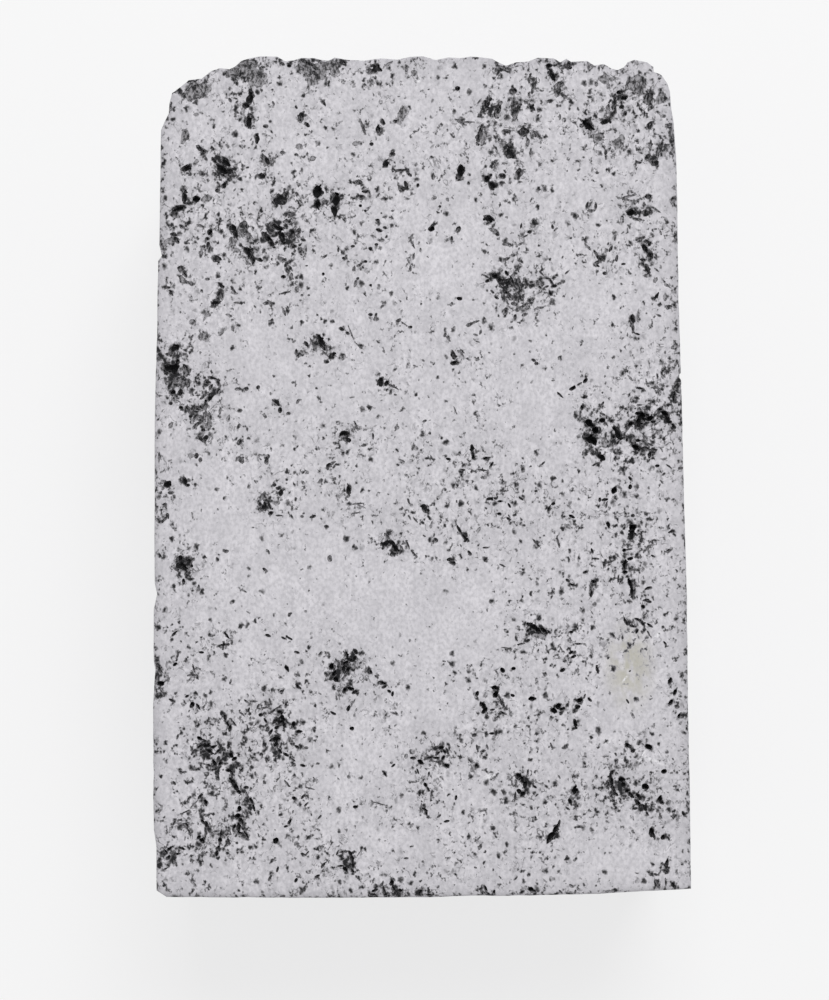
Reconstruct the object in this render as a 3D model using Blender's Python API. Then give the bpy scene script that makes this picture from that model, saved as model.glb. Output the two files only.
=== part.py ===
"""A pumice stone: one sawn slab of grey pumice, broken off at its far end.

The stone lies flat on the ground (z = 0) with its length along Y, its broken
end at +Y and its middle over the origin.  Everything is in metres.
"""
import math
import random

import bmesh
import bpy
from mathutils import Matrix, Vector, noise

MM = 0.001
SEED = 41

# --- the block -----------------------------------------------------------
LENGTH = 100.0 * MM             # broken end to sawn foot, along Y
WIDTH = 63.8 * MM               # widest, near the foot, along X
THICKNESS = 35.0 * MM           # sawn top to sawn underside
RIM = 0.5 * MM                  # worn round the sharp sawn edges
SAW_WAVE = 0.25 * MM            # how far a sawn side wanders inwards
BREAK_DEPTH = 2.2 * MM          # how far the broken end is hollowed
BREAK_LEVELS = (0.03, 0.16, 0.33, 0.5, 0.67, 0.84, 0.97)    # shares of the thickness

# The plan, in mm, anticlockwise from the foot's left corner.
FOOT = [(-30.4, -50.0), (-14.0, -50.1), (2.0, -50.0), (8.6, -49.9), (20.9, -49.6),
        (31.8, -49.0)]
RIGHT_SIDE = [(31.65, -38.5), (31.4, -26.6), (31.3, -14.7), (30.95, -2.9),
              (30.7, 9.0), (30.3, 20.9), (30.15, 33.0), (29.85, 40.0)]
RIGHT_CORNER = [(29.5, 43.5), (29.2, 46.6), (27.6, 48.2), (26.6, 49.3), (24.1, 49.4),
                (22.7, 48.4)]
BROKEN_END = [(20.3, 49.0), (17.0, 49.7), (13.5, 49.75), (11.6, 49.3), (9.8, 48.8),
              (8.4, 49.7), (3.5, 49.9), (-0.5, 49.9), (-5.0, 49.8), (-9.0, 49.5),
              (-11.4, 49.45), (-13.6, 49.9), (-15.8, 49.35), (-18.2, 49.97)]
LEFT_CORNER = [(-20.5, 49.75), (-22.4, 48.6), (-24.1, 48.65), (-26.3, 47.3), (-28.0, 47.05),
               (-29.8, 45.5), (-30.2, 43.4)]
LEFT_SIDE = [(-31.05, 41.0), (-31.2, 30.6), (-31.25, 27.4), (-30.95, 26.1), (-31.4, 25.5),
             (-31.8, 9.0), (-31.8, -12.8), (-31.55, -14.0), (-31.9, -15.8), (-31.95, -22.0),
             (-31.75, -23.0), (-32.0, -27.0), (-31.95, -42.0), (-31.6, -44.0), (-31.6, -49.2)]
BROKEN_FROM = 41.0              # mm along Y past which the side is broken, not sawn

# --- the pits ------------------------------------------------------------
PIT_SIDES = 8
PIT_JITTER = 0.22               # how ragged a pit's outline is, as a share of its size
PIT_DEPTH = 0.75                # depth as a share of the pit's width

# The main open pits of the top face, in mm: x, y, length, width, turn in degrees.
TOP_PITS = {
    "broken corner left": [
        (-26.7, 45.6, 3.0, 1.6, 15), (-20.2, 46.9, 2.6, 2.0, 10), (-20.6, 44.3, 2.2, 1.8, 60),
        (-20.5, 42.0, 1.9, 0.9, 90), (-13.2, 48.2, 3.0, 1.4, -25)],
    "left shoulder": [
        (-23.5, 36.6, 2.6, 2.0, -50), (-28.2, 40.0, 2.0, 1.0, 80), (-28.1, 36.5, 1.3, 0.9, 30),
        (-28.2, 33.0, 1.6, 0.8, 90), (-26.3, 32.9, 1.8, 1.1, 0), (-16.7, 32.7, 2.1, 1.8, 0),
        (-12.5, 33.0, 2.6, 1.3, 85), (-10.4, 32.2, 2.8, 1.2, 90), (-25.2, 28.9, 1.1, 0.9, 60)],
    "black cluster left of the middle": [
        (-16.9, 28.9, 2.0, 1.4, -50), (-18.3, 28.0, 2.3, 1.0, -50), (-16.7, 28.2, 1.9, 0.9, 80),
        (-22.3, 29.2, 1.6, 1.0, 90), (-21.0, 29.2, 2.0, 1.0, -60), (-20.6, 26.4, 2.2, 1.2, -40),
        (-14.8, 26.9, 1.8, 1.0, 10), (-28.3, 24.2, 1.8, 1.0, -60), (-29.3, 28.3, 1.8, 0.9, -50),
        (-23.9, 21.6, 2.4, 1.1, 60), (-24.6, 20.4, 1.3, 0.7, 10), (-22.5, 22.0, 1.3, 0.6, -55)],
    "left edge": [
        (-29.6, 15.0, 1.8, 1.2, 30), (-29.7, 12.8, 2.4, 1.6, 20), (-29.0, 10.6, 2.2, 1.8, 0),
        (-28.0, 12.4, 1.7, 0.8, -70), (-24.6, 11.0, 1.8, 1.4, -40), (-26.6, 8.0, 1.8, 1.0, 0),
        (-25.6, 8.1, 1.7, 0.9, 90), (-25.3, 6.5, 2.4, 0.9, 85), (-26.0, 4.6, 1.5, 1.2, 20),
        (-30.3, -1.1, 1.5, 0.9, 40), (-28.0, -0.8, 1.6, 0.8, -50), (-28.5, -10.5, 2.0, 1.7, 60),
        (-28.3, -12.5, 0.9, 0.7, 90)],
    "middle": [
        (-12.0, 16.0, 2.2, 1.1, -62), (-13.8, 15.6, 1.2, 0.7, -50), (-9.3, 17.1, 1.6, 0.6, -35),
        (-5.0, 10.9, 1.4, 0.8, 90), (-3.9, 10.8, 1.6, 0.6, -30), (3.6, 14.1, 1.6, 0.9, -70),
        (-9.1, 4.8, 1.4, 1.0, -20), (5.9, 2.8, 2.2, 0.7, 88), (7.6, 1.0, 1.8, 0.6, 20),
        (0.3, -3.8, 1.2, 1.1, 0), (4.7, -7.0, 1.6, 0.9, -50), (-4.0, -8.1, 1.8, 1.2, 10),
        (-3.3, -8.9, 1.5, 1.2, -40), (3.3, -10.1, 1.1, 1.0, 0), (-8.7, -1.9, 1.4, 0.7, 85),
        (-18.9, -3.6, 1.7, 1.2, -40), (-18.1, -3.7, 1.9, 0.7, -60), (-16.9, -1.9, 1.3, 0.8, 60)],
    "black fan right of the middle": [
        (8.7, 23.5, 1.3, 1.0, -40), (9.7, 22.8, 2.4, 1.6, -50), (10.6, 22.9, 2.2, 0.8, -65),
        (10.0, 21.4, 2.0, 1.2, -55), (12.3, 22.8, 1.6, 0.9, -80), (15.2, 22.4, 1.6, 0.9, -50),
        (11.9, 20.8, 2.2, 0.9, 20)],
    "right shoulder": [
        (15.8, 45.8, 2.4, 1.2, 70), (22.9, 43.6, 2.6, 0.8, 85), (19.6, 41.5, 1.9, 0.9, -35),
        (25.0, 46.2, 2.0, 1.8, 0), (7.9, 43.5, 2.0, 1.2, 60), (26.7, 26.4, 2.2, 0.9, -50),
        (26.2, 24.9, 1.7, 0.7, -65), (20.9, 26.0, 1.5, 0.9, -55), (24.8, 18.1, 2.6, 0.8, -82),
        (24.6, 31.2, 1.4, 1.0, 0)],
    "dendrites right": [
        (20.0, 6.1, 1.6, 1.2, -45), (19.8, 4.2, 1.5, 1.1, 0), (21.2, 2.3, 1.5, 0.8, -40),
        (23.0, 5.2, 1.7, 0.9, -70), (25.6, 6.7, 1.9, 1.1, 80), (26.6, 6.9, 1.6, 1.0, -20),
        (28.8, 7.0, 2.2, 1.0, -55), (25.4, 3.4, 1.6, 0.9, -35), (26.8, 2.9, 1.7, 0.8, -25),
        (24.8, -6.3, 2.2, 1.0, 85), (22.7, -1.7, 1.2, 0.8, 60)],
    "right lower": [
        (23.9, -10.9, 1.6, 0.9, 85), (24.5, -13.2, 2.2, 0.8, -80), (20.1, -13.0, 2.4, 0.9, 85),
        (12.9, -17.7, 2.0, 1.2, -20), (14.2, -18.4, 1.6, 1.0, -40), (7.3, -27.5, 1.7, 1.1, 80),
        (8.7, -25.3, 1.4, 1.2, -60), (18.5, -26.8, 1.5, 0.9, 60), (16.0, -27.7, 1.8, 1.3, 0)],
    "left lower": [
        (-10.6, -23.3, 2.2, 1.1, -70), (-9.1, -22.5, 2.2, 1.1, 60), (-8.3, -21.4, 1.4, 0.9, -50),
        (-17.0, -29.1, 2.4, 1.3, 40), (-23.2, -29.1, 2.2, 0.8, -65), (-25.6, -32.1, 2.4, 1.3, 10),
        (-24.6, -34.1, 1.6, 1.1, -60), (-22.5, -36.6, 2.6, 0.9, -75), (-21.7, -40.4, 3.0, 1.2, 85),
        (-25.8, -41.2, 1.5, 0.8, -55), (-26.2, -43.0, 1.5, 0.9, -35), (-24.1, -43.0, 1.4, 0.7, 90)],
    "foot": [
        (-29.7, -44.6, 2.2, 1.0, 10), (-8.6, -45.2, 2.4, 0.9, 85), (-9.5, -46.4, 1.7, 1.0, 0),
        (-3.6, -48.5, 1.4, 0.8, 90), (-4.7, -48.8, 2.0, 0.7, 85), (1.7, -33.1, 2.6, 1.5, 15),
        (0.3, -36.9, 1.4, 0.8, -60), (11.8, -36.2, 2.4, 1.2, -80), (15.6, -42.0, 2.4, 0.8, 60),
        (22.5, -36.5, 2.8, 0.7, -75), (23.6, -36.3, 1.6, 0.7, -80), (25.7, -38.6, 1.8, 0.8, -45),
        (12.9, -49.0, 1.2, 0.8, 0), (7.4, -49.0, 1.4, 0.9, 80)],
}
UNDERSIDE_PITS = 26             # scattered, since nothing shows them
CLEAR_FOOTPRINT = 9.0 * MM      # radius at the underside's middle left flat and whole
SIDE_PITS = 40
SCATTERED_PIT = (1.0, 2.6)      # mm, shortest and longest scattered pit

STONE_COLOUR = (0.55, 0.54, 0.56, 1.0)
STONE_ROUGHNESS = 0.95


def clear_scene():
    for thing in list(bpy.data.objects):
        bpy.data.objects.remove(thing, do_unlink=True)


def new_collection(name):
    collection = bpy.data.collections.new(name)
    bpy.context.scene.collection.children.link(collection)
    return collection


def mesh_object(name, bm, collection):
    bmesh.ops.recalc_face_normals(bm, faces=bm.faces)
    mesh = bpy.data.meshes.new(name)
    bm.to_mesh(mesh)
    bm.free()
    thing = bpy.data.objects.new(name, mesh)
    collection.objects.link(thing)
    return thing


def plan_points():
    """The plan in metres, moved and fitted so that its box is centred on the origin."""
    points = FOOT + RIGHT_SIDE + RIGHT_CORNER + BROKEN_END + LEFT_CORNER + LEFT_SIDE
    low_x, high_x = min(p[0] for p in points), max(p[0] for p in points)
    low_y, high_y = min(p[1] for p in points), max(p[1] for p in points)
    fit_x, fit_y = WIDTH / (high_x - low_x), LENGTH / (high_y - low_y)
    return [Vector(((x - (low_x + high_x) / 2) * fit_x, (y - (low_y + high_y) / 2) * fit_y))
            for x, y in points]


def inward(plan, i):
    """The direction into the stone at one corner of the plan."""
    along = plan[(i + 1) % len(plan)] - plan[i - 1]
    return Vector((-along.y, along.x)).normalized()


def side_depth(point, level):
    """How far the side stands in from the plan at one place and height."""
    place = Vector((point.x, point.y, level * THICKNESS)) / MM
    broken = min(max((point.y / MM - BROKEN_FROM) / 5.0, 0.0), 1.0)
    saw = SAW_WAVE * abs(noise.noise(place / 9.0))
    lumps = abs(noise.noise(place / 11.0)) + 0.6 * abs(noise.noise(place / 4.0))
    below_top = min((1.0 - level) * 6.0, 1.0)
    return saw + broken * BREAK_DEPTH * lumps * below_top


def build_block(collection):
    """The slab: one ring of points at each level, closed by a flat top and underside."""
    plan = plan_points()
    levels = [(0.0, RIM)] + [(share, 0.0) for share in BREAK_LEVELS] + [(1.0, RIM)]
    bm = bmesh.new()
    rings = []
    for level, worn in levels:
        ring = []
        for i, point in enumerate(plan):
            spot = point + inward(plan, i) * (side_depth(point, level) + worn)
            ring.append(bm.verts.new((spot.x, spot.y, level * THICKNESS)))
        rings.append(ring)
    for lower, upper in zip(rings, rings[1:]):
        for i in range(len(plan)):
            j = (i + 1) % len(plan)
            bm.faces.new((lower[i], lower[j], upper[j], upper[i]))
    bm.faces.new(rings[0])
    bm.faces.new(rings[-1])
    return mesh_object("pumice_stone", bm, collection)


def add_pit(bm, place, length, width, chance):
    """One ragged bowl: an open mouth above the surface, a belly and a pointed floor.

    place carries the pit to the stone: its own Z is the surface's outward normal.
    """
    depth = PIT_DEPTH * width
    raggedness = [1.0 + PIT_JITTER * chance.uniform(-1, 1) for _ in range(PIT_SIDES)]
    rings = []
    for share, height in ((1.12, 0.35 * depth), (1.0, 0.0), (0.72, -0.6 * depth)):
        ring = []
        for i, ragged in enumerate(raggedness):
            angle = 2 * math.pi * i / PIT_SIDES
            spot = Vector((math.cos(angle) * length / 2, math.sin(angle) * width / 2, 0))
            spot = spot * share * ragged
            spot.z = height
            ring.append(bm.verts.new(place @ spot))
        rings.append(ring)
    floor = bm.verts.new(place @ Vector((0.1 * length, 0, -depth)))
    for upper, lower in zip(rings, rings[1:]):
        for i in range(PIT_SIDES):
            j = (i + 1) % PIT_SIDES
            bm.faces.new((upper[i], upper[j], lower[j], lower[i]))
    for i in range(PIT_SIDES):
        bm.faces.new((rings[-1][i], rings[-1][(i + 1) % PIT_SIDES], floor))
    bm.faces.new(rings[0])


def surface_place(point, normal, turn):
    """A matrix whose Z is the surface's normal, turned about it."""
    facing = Vector(normal).to_track_quat("Z", "Y").to_matrix().to_4x4()
    return Matrix.Translation(point) @ facing @ Matrix.Rotation(turn, 4, "Z")


def add_top_pits(bm, chance):
    for pits in TOP_PITS.values():
        for x, y, length, width, turn in pits:
            point = Vector((x * MM, y * MM, THICKNESS))
            place = surface_place(point, (0, 0, 1), math.radians(turn))
            add_pit(bm, place, length * MM, width * MM, chance)


def scattered_size(chance):
    length = chance.uniform(*SCATTERED_PIT) * MM
    return length, length * chance.uniform(0.45, 0.9)


def add_underside_pits(bm, chance):
    """Pits over the underside, apart from each other and off its middle."""
    middles = []
    while len(middles) < UNDERSIDE_PITS:
        spot = Vector((chance.uniform(-28, 28) * MM, chance.uniform(-46, 44) * MM, 0))
        if spot.length < CLEAR_FOOTPRINT or any((spot - m).length < 4 * MM for m in middles):
            continue
        middles.append(spot)
        length, width = scattered_size(chance)
        add_pit(bm, surface_place(spot, (0, 0, -1), chance.uniform(0, math.pi)),
                length, width, chance)


def add_side_pits(bm, chance):
    """Pits round the four sides, each square to the side that it opens in."""
    plan = plan_points()
    middles = []
    while len(middles) < SIDE_PITS:
        i = chance.randrange(len(plan))
        start, end = plan[i], plan[(i + 1) % len(plan)]
        span = end - start
        if chance.random() > min(span.length / (6 * MM), 1.0):
            continue
        level = chance.uniform(0.1, 0.88)
        flat = start.lerp(end, chance.uniform(0.25, 0.75))
        into = Vector((-span.y, span.x)).normalized()
        flat = flat + into * side_depth(flat, level)
        spot = Vector((flat.x, flat.y, level * THICKNESS))
        if any((spot - m).length < 5 * MM for m in middles):
            continue
        middles.append(spot)
        length, width = scattered_size(chance)
        add_pit(bm, surface_place(spot, (-into.x, -into.y, 0), chance.uniform(0, math.pi)),
                length, width, chance)


def build_pit_cutter(collection):
    """Every pit in one mesh, so that pits that run into each other cut as one."""
    chance = random.Random(SEED)
    bm = bmesh.new()
    add_top_pits(bm, chance)
    add_underside_pits(bm, chance)
    add_side_pits(bm, chance)
    cutter = mesh_object("pit_cutter", bm, collection)
    cutter.hide_render = True
    cutter.display_type = "WIRE"
    return cutter


def cut(stone, cutter):
    boolean = stone.modifiers.new(cutter.name, "BOOLEAN")
    boolean.operation = "DIFFERENCE"
    boolean.solver = "EXACT"
    boolean.use_self = True
    boolean.object = cutter


def pumice_material():
    material = bpy.data.materials.new("sanded_pumice")
    material.use_nodes = True
    shader = material.node_tree.nodes["Principled BSDF"]
    shader.inputs["Base Color"].default_value = STONE_COLOUR
    shader.inputs["Roughness"].default_value = STONE_ROUGHNESS
    shader.inputs["Metallic"].default_value = 0.0
    material.diffuse_color = STONE_COLOUR
    return material


def main():
    clear_scene()
    stone = build_block(new_collection("pumice_stone_parts"))
    stone.data.materials.append(pumice_material())
    cut(stone, build_pit_cutter(new_collection("cutters")))


main()
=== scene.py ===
# %% [markdown]
# # A pumice stone
#
# Pumice is volcanic glass that froze while it was full of gas.  This stone is
# one slab of it: sawn flat above, below and along three sides, sanded by use,
# and simply broken off at the far end.  Everything that makes it look like
# pumice is a hole.  Where the saw went through a bubble, the bubble stands
# open, dark inside, with a thin ragged lip.
#
# So the plan is: build the plain slab, make a few ragged bubble shapes, put
# them where the bubbles are, and take them all out of the slab in one go.

# %% Load the stone's frame
import math

import bmesh
import bpy
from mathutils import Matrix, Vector, noise


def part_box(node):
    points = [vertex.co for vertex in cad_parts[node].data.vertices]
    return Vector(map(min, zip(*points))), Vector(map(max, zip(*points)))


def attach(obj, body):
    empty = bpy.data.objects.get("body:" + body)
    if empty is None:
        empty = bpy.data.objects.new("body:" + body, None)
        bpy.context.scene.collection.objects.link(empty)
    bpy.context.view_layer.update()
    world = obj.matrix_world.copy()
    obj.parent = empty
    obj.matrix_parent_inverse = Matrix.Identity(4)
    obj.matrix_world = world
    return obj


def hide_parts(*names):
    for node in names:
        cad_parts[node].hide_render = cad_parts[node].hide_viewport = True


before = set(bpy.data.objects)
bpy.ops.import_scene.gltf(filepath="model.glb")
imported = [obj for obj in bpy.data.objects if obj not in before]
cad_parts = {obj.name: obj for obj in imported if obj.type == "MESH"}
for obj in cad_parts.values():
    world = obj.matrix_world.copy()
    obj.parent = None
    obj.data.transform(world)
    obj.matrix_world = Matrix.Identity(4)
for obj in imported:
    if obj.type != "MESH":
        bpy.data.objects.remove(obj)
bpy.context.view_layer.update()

MM = 0.001
LOW, HIGH = (Vector(corner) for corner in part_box("pumice_stone"))
THICKNESS = HIGH.z - LOW.z
print("the solid stone spans", [round(size / MM, 2) for size in HIGH - LOW], "mm")

# %% [markdown]
# ## The slab's plan
#
# Seen from above, the two long sides and the foot are nearly straight saw cuts
# that wander by a few tenths of a millimetre, with a nick here and there.  The
# far end is a break: its corners are gone and its line steps in and out.
#
# A plan like this follows no rule, so its points are given one by one, and
# only as many as the line needs.  They run anticlockwise, in millimetres.

# %% The plan, corner by corner
FOOT = [(-30.4, -50.0), (-14.0, -50.1), (2.0, -50.0), (6.2, -49.8), (8.6, -49.9),
        (20.9, -49.6), (31.8, -49.0)]
RIGHT_SIDE = [(31.65, -38.5), (31.4, -26.6), (31.3, -14.7), (30.95, -2.9), (30.7, 9.0),
              (30.3, 20.9), (30.15, 33.0), (30.0, 38.0), (29.85, 40.0)]
RIGHT_CORNER = [(29.75, 42.0), (29.5, 43.5), (29.4, 45.5), (29.2, 46.6), (28.4, 47.7),
                (27.6, 48.2), (27.4, 48.7), (26.6, 49.3), (25.0, 49.6), (24.1, 49.4),
                (23.7, 48.7), (23.0, 48.4)]
BROKEN_END = [(22.3, 48.5), (21.5, 49.0), (20.3, 49.0), (19.5, 49.4), (17.5, 49.3),
              (17.0, 49.75), (16.3, 49.4), (15.5, 49.7), (13.5, 49.75), (12.5, 49.4),
              (11.0, 49.2), (9.8, 48.8), (9.0, 49.3), (8.3, 49.7), (7.0, 49.95), (3.0, 49.85),
              (0.0, 49.9), (-3.0, 49.6), (-5.0, 49.8), (-7.0, 49.6), (-9.0, 49.5),
              (-10.5, 49.75), (-11.1, 49.45), (-12.2, 49.5), (-12.8, 49.9), (-14.4, 49.8),
              (-15.3, 49.4), (-16.3, 49.35), (-17.2, 49.9), (-19.2, 49.95)]
LEFT_CORNER = [(-20.5, 49.75), (-21.6, 49.4), (-22.2, 48.8), (-23.0, 48.4), (-24.1, 48.65),
               (-25.2, 48.35), (-25.5, 47.9), (-26.3, 47.3), (-27.8, 47.1), (-28.9, 46.3),
               (-29.8, 45.5), (-30.1, 44.2), (-30.2, 43.0), (-30.7, 41.9)]
LEFT_SIDE = [(-31.05, 41.0), (-31.1, 38.7), (-31.2, 30.6), (-31.25, 27.4), (-30.95, 26.1),
             (-31.4, 25.5), (-31.5, 18.0), (-31.8, 9.0), (-31.85, -10.0), (-31.8, -12.8),
             (-31.55, -14.0), (-31.9, -15.8), (-31.95, -22.0), (-31.75, -23.0), (-32.0, -27.0),
             (-31.95, -42.0), (-31.6, -44.0), (-31.6, -49.2)]
PLAN = FOOT + RIGHT_SIDE + RIGHT_CORNER + BROKEN_END + LEFT_CORNER + LEFT_SIDE
ACROSS, ALONG = zip(*PLAN)
PLAN_MIDDLE = Vector(((min(ACROSS) + max(ACROSS)) / 2, (min(ALONG) + max(ALONG)) / 2, 0.0))
PLAN_SIZE = Vector((max(ACROSS) - min(ACROSS), max(ALONG) - min(ALONG), 1.0))
HAIR_INSIDE = 0.9996         # so that no rounding can take the stone outside its solid
FITTED = Vector(((HIGH.x - LOW.x) / PLAN_SIZE.x, (HIGH.y - LOW.y) / PLAN_SIZE.y, MM)) * HAIR_INSIDE
MIDDLE = Vector(((LOW.x + HIGH.x) / 2, (LOW.y + HIGH.y) / 2, 0.0))


def on_stone(x, y):
    """A place given in the plan's millimetres, as metres in the stone's frame."""
    return (Vector((x, y, 0)) - PLAN_MIDDLE) * FITTED + MIDDLE


def on_top(x, y):
    """The same place on the top face."""
    return on_stone(x, y) + Vector((0, 0, THICKNESS))


print("plan:", len(PLAN), "points, 1 mm becomes", [round(part / MM, 5) for part in FITTED])

# %% [markdown]
# ## The slab
#
# The sides are rings of points, one above the other, joined by four-sided
# faces.  That lets each point stand in a little by its own amount: a few
# hundredths on a sawn side, a millimetre or two on the break.  All of it goes
# inwards, so the stone never grows past its measured size.  The lowest and the
# highest rings turn over the rims, which use has worn round.

# %% Rings of the slab
RING_STEP = 1.4             # mm between points round a ring
LEVEL_STEP = 2.1            # mm between rings
SAW_WAVE, SAW_GRAINS = 0.10, (3.1, 1.2)   # mm that a sawn side wanders in, and over what length
BREAK_HOLLOW, BREAK_GRAINS = 2.1, (9.0, 3.0, 1.1)   # mm, the same for the break below its rim
BROKEN_FROM, BROKEN_OVER = 41.0, 5.0   # mm along the stone: where the saw cuts end, and how softly
HOLLOW_BELOW = 5.0          # mm below the rim, where the side has its full hollow
SMOOTH_OVER = 3             # points to each side that a lower ring of the break is smoothed over
STEPS_REACH = 7.0           # mm below its rim, where the break has lost the steps of the plan
KNOCKED, KNOCKED_BELOW = 0.22, 3.0  # share that the upright corners are rounded, mm below the rim
KNOCKED_GRAIN, RIM_GRAIN = 4.0, 2.4   # mm over which that share, and the wear of a rim, change
RIM_STEPS = [(0.0, 1.0), (0.12, 0.45), (0.32, 0.14), (0.62, 0.0)]   # mm down, share worn in
RIM_WORN = 0.4              # mm that the rim is worn in, at most


def ring_points(step):
    """Points along the plan, about that far apart."""
    points = []
    corners = [on_stone(*corner) for corner in PLAN]
    for start, end in zip(corners, corners[1:] + corners[:1]):
        pieces = max(1, round((end - start).length / step))
        points += [start.lerp(end, i / pieces) for i in range(pieces)]
    return points


def ring_inwards(points):
    """For each point, the direction into the stone."""
    inwards = []
    for i in range(len(points)):
        along = points[(i + 2) % len(points)] - points[i - 2]
        inwards.append(Vector((-along.y, along.x, 0)).normalized())
    return inwards


def smoothed(points):
    """The same ring without its small steps, each point the mean of those near it."""
    reach = range(-SMOOTH_OVER, SMOOTH_OVER + 1)
    return [sum((points[(i + k) % len(points)] for k in reach), Vector()) / len(reach)
            for i in range(len(points))]


# %% How far the sides stand in
def brokenness(point):
    """0 on the sawn sides, 1 on the break."""
    return min(max((point.y / MM - BROKEN_FROM) / BROKEN_OVER, 0.0), 1.0)


def knocked(point, height):
    """How far the upright corners have been knocked round at this place, as a share."""
    unevenly = 0.5 + abs(noise.noise(Vector((point.x, point.y, height)) / (KNOCKED_GRAIN * MM)))
    return KNOCKED * unevenly * min((THICKNESS - height) / (KNOCKED_BELOW * MM), 1.0)


def stands_in(point, height):
    """How far the side stands in at this place, in metres."""
    place = Vector((point.x / MM, point.y / MM, height / MM))
    below_rim = min((THICKNESS - height) / (HOLLOW_BELOW * MM), 1.0)
    long_wave, short_wave = (abs(noise.noise(place / grain)) for grain in SAW_GRAINS)
    lump, knob, crumb = (abs(noise.noise(place / grain)) for grain in BREAK_GRAINS)
    saw = long_wave + 0.5 * short_wave
    broken = (lump + 0.45 * knob) * below_rim + 0.22 * crumb
    return MM * (SAW_WAVE * saw + brokenness(point) * BREAK_HOLLOW * broken)


def side_levels():
    """Heights of the rings with the share that the rim is worn in at each."""
    top = [(THICKNESS - down * MM, worn) for down, worn in RIM_STEPS]
    foot = [(down * MM, worn) for down, worn in RIM_STEPS]
    lowest, highest = foot[-1][0], top[-1][0]
    rows = round((highest - lowest) / (LEVEL_STEP * MM))
    between = [(lowest + (highest - lowest) * i / rows, 0.0) for i in range(1, rows)]
    return foot + between + top[::-1]


# %% Make the slab
TOP_GRID, UNDER_GRID = 0.9, 3.0   # mm between points on the two flat faces
AT_THAT_HEIGHT = 1e-6       # metres off that still count as level with a flat face


def divide(bm, height, step):
    """Cuts the flat face at that height into squares, so that it has points to hold values."""
    for axis in (Vector((1, 0, 0)), Vector((0, 1, 0))):
        places = [vert.co.dot(axis) for vert in bm.verts]
        for i in range(1, int((max(places) - min(places)) / (step * MM)) + 1):
            verts = {vert for vert in bm.verts if abs(vert.co.z - height) < AT_THAT_HEIGHT}
            parts = [part for group in (bm.edges, bm.faces) for part in group
                     if all(vert in verts for vert in part.verts)]
            bmesh.ops.bisect_plane(bm, geom=list(verts) + parts, plane_no=axis,
                                   plane_co=axis * (min(places) + i * step * MM))


def placed(name, data):
    """An object with that data, put into the scene."""
    thing = bpy.data.objects.new(name, data)
    bpy.context.scene.collection.objects.link(thing)
    return thing


def make_slab():
    points = ring_points(RING_STEP * MM)
    inwards = ring_inwards(points)
    plainer = smoothed(points)
    bm = bmesh.new()
    rings = []
    for height, worn in side_levels():
        ring = []
        below = min((THICKNESS - height) / (STEPS_REACH * MM), 1.0)
        for point, plain, into in zip(points, plainer, inwards):
            wear = RIM_WORN * (0.75 + 0.5 * noise.noise(point / (RIM_GRAIN * MM)))
            spot = point.lerp(plain, max(below * brokenness(point), knocked(point, height)))
            spot += into * (stands_in(point, height) + worn * wear * MM)
            ring.append(bm.verts.new((spot.x, spot.y, height)))
        rings.append(ring)
    for lower, upper in zip(rings, rings[1:]):
        for i in range(len(points)):
            j = (i + 1) % len(points)
            bm.faces.new((lower[i], lower[j], upper[j], upper[i]))
    bm.faces.new(rings[0][::-1])
    bm.faces.new(rings[-1])
    bmesh.ops.recalc_face_normals(bm, faces=bm.faces)
    divide(bm, THICKNESS, TOP_GRID)
    divide(bm, 0.0, UNDER_GRID)
    bmesh.ops.triangulate(bm, faces=bm.faces)
    mesh = bpy.data.meshes.new("slab")
    bm.to_mesh(mesh)
    bm.free()
    return placed("slab", mesh)


slab = make_slab()
print("slab:", len(slab.data.vertices), "points,", len(slab.data.polygons), "faces")

# %% [markdown]
# ## The main pits of the top face
#
# The largest open bubbles are what the eye knows this stone by.  Flowing lava
# pulled them out, so many are short strokes, and where several broke into each
# other they make ragged black clusters.  Their places follow no rule either, so
# each is written down: where it is, how long and wide it is, how it is turned,
# and how deep it goes.  They are listed region by region, from the break to the
# foot, which makes one of them easy to find again.

# %% Main pits at the break
B, D, G = 1.0, 0.62, 0.22   # black and deep, dark, grey and shallow
MAIN_PITS = {}              # x, y, length and width in mm, turn in degrees, how deep


def count_pits():
    print("main pits so far:", sum(len(pits) for pits in MAIN_PITS.values()))


MAIN_PITS["break, left"] = [
    (-26.6, 45.6, 3.2, 2, 20, G), (-27.2, 46, 1.8, 0.5, 30, D), (-26, 45.3, 1.8, 0.4, 18, D),
    (-26.9, 44.7, 1.5, 0.3, 20, B), (-29.8, 43.6, 0.6, 0.4, 80, B), (-26.8, 42.8, 0.7, 0.5, 0, G),
    (-19.8, 47.2, 2.6, 2.2, 0, G), (-22, 47.9, 2.4, 1.6, 10, G), (-20.9, 48.6, 2.4, 1.2, 0, G),
    (-22, 47.5, 2, 0.7, 10, D), (-22.3, 46.9, 1, 0.5, -30, D), (-22.8, 44.5, 0.7, 0.4, -60, B),
    (-20.5, 44.6, 1.5, 0.9, 70, B), (-20.9, 43.9, 1, 0.8, 20, B), (-20.2, 45, 0.8, 0.6, 0, D),
    (-20.6, 42, 1.9, 0.8, 85, B), (-18.6, 41.4, 0.8, 0.5, 0, D), (-14.4, 42.5, 1.4, 0.8, 80, D),
    (-13.7, 41.6, 0.9, 0.5, -40, B), (-11.8, 44.2, 1, 0.5, -50, D), (-16.6, 48.8, 0.7, 0.4, -50, B),
    (-15.8, 48.6, 0.6, 0.5, 0, B), (-13.6, 48.9, 2.1, 0.5, -25, B), (-12.7, 48.3, 1.4, 0.5, -30, B),
    (-12.9, 47.6, 2.8, 1.8, 0, G), (-11.2, 48.6, 2.2, 1.3, 0, G), (-13.9, 48.4, 2.4, 1.4, 0, G)]
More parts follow.
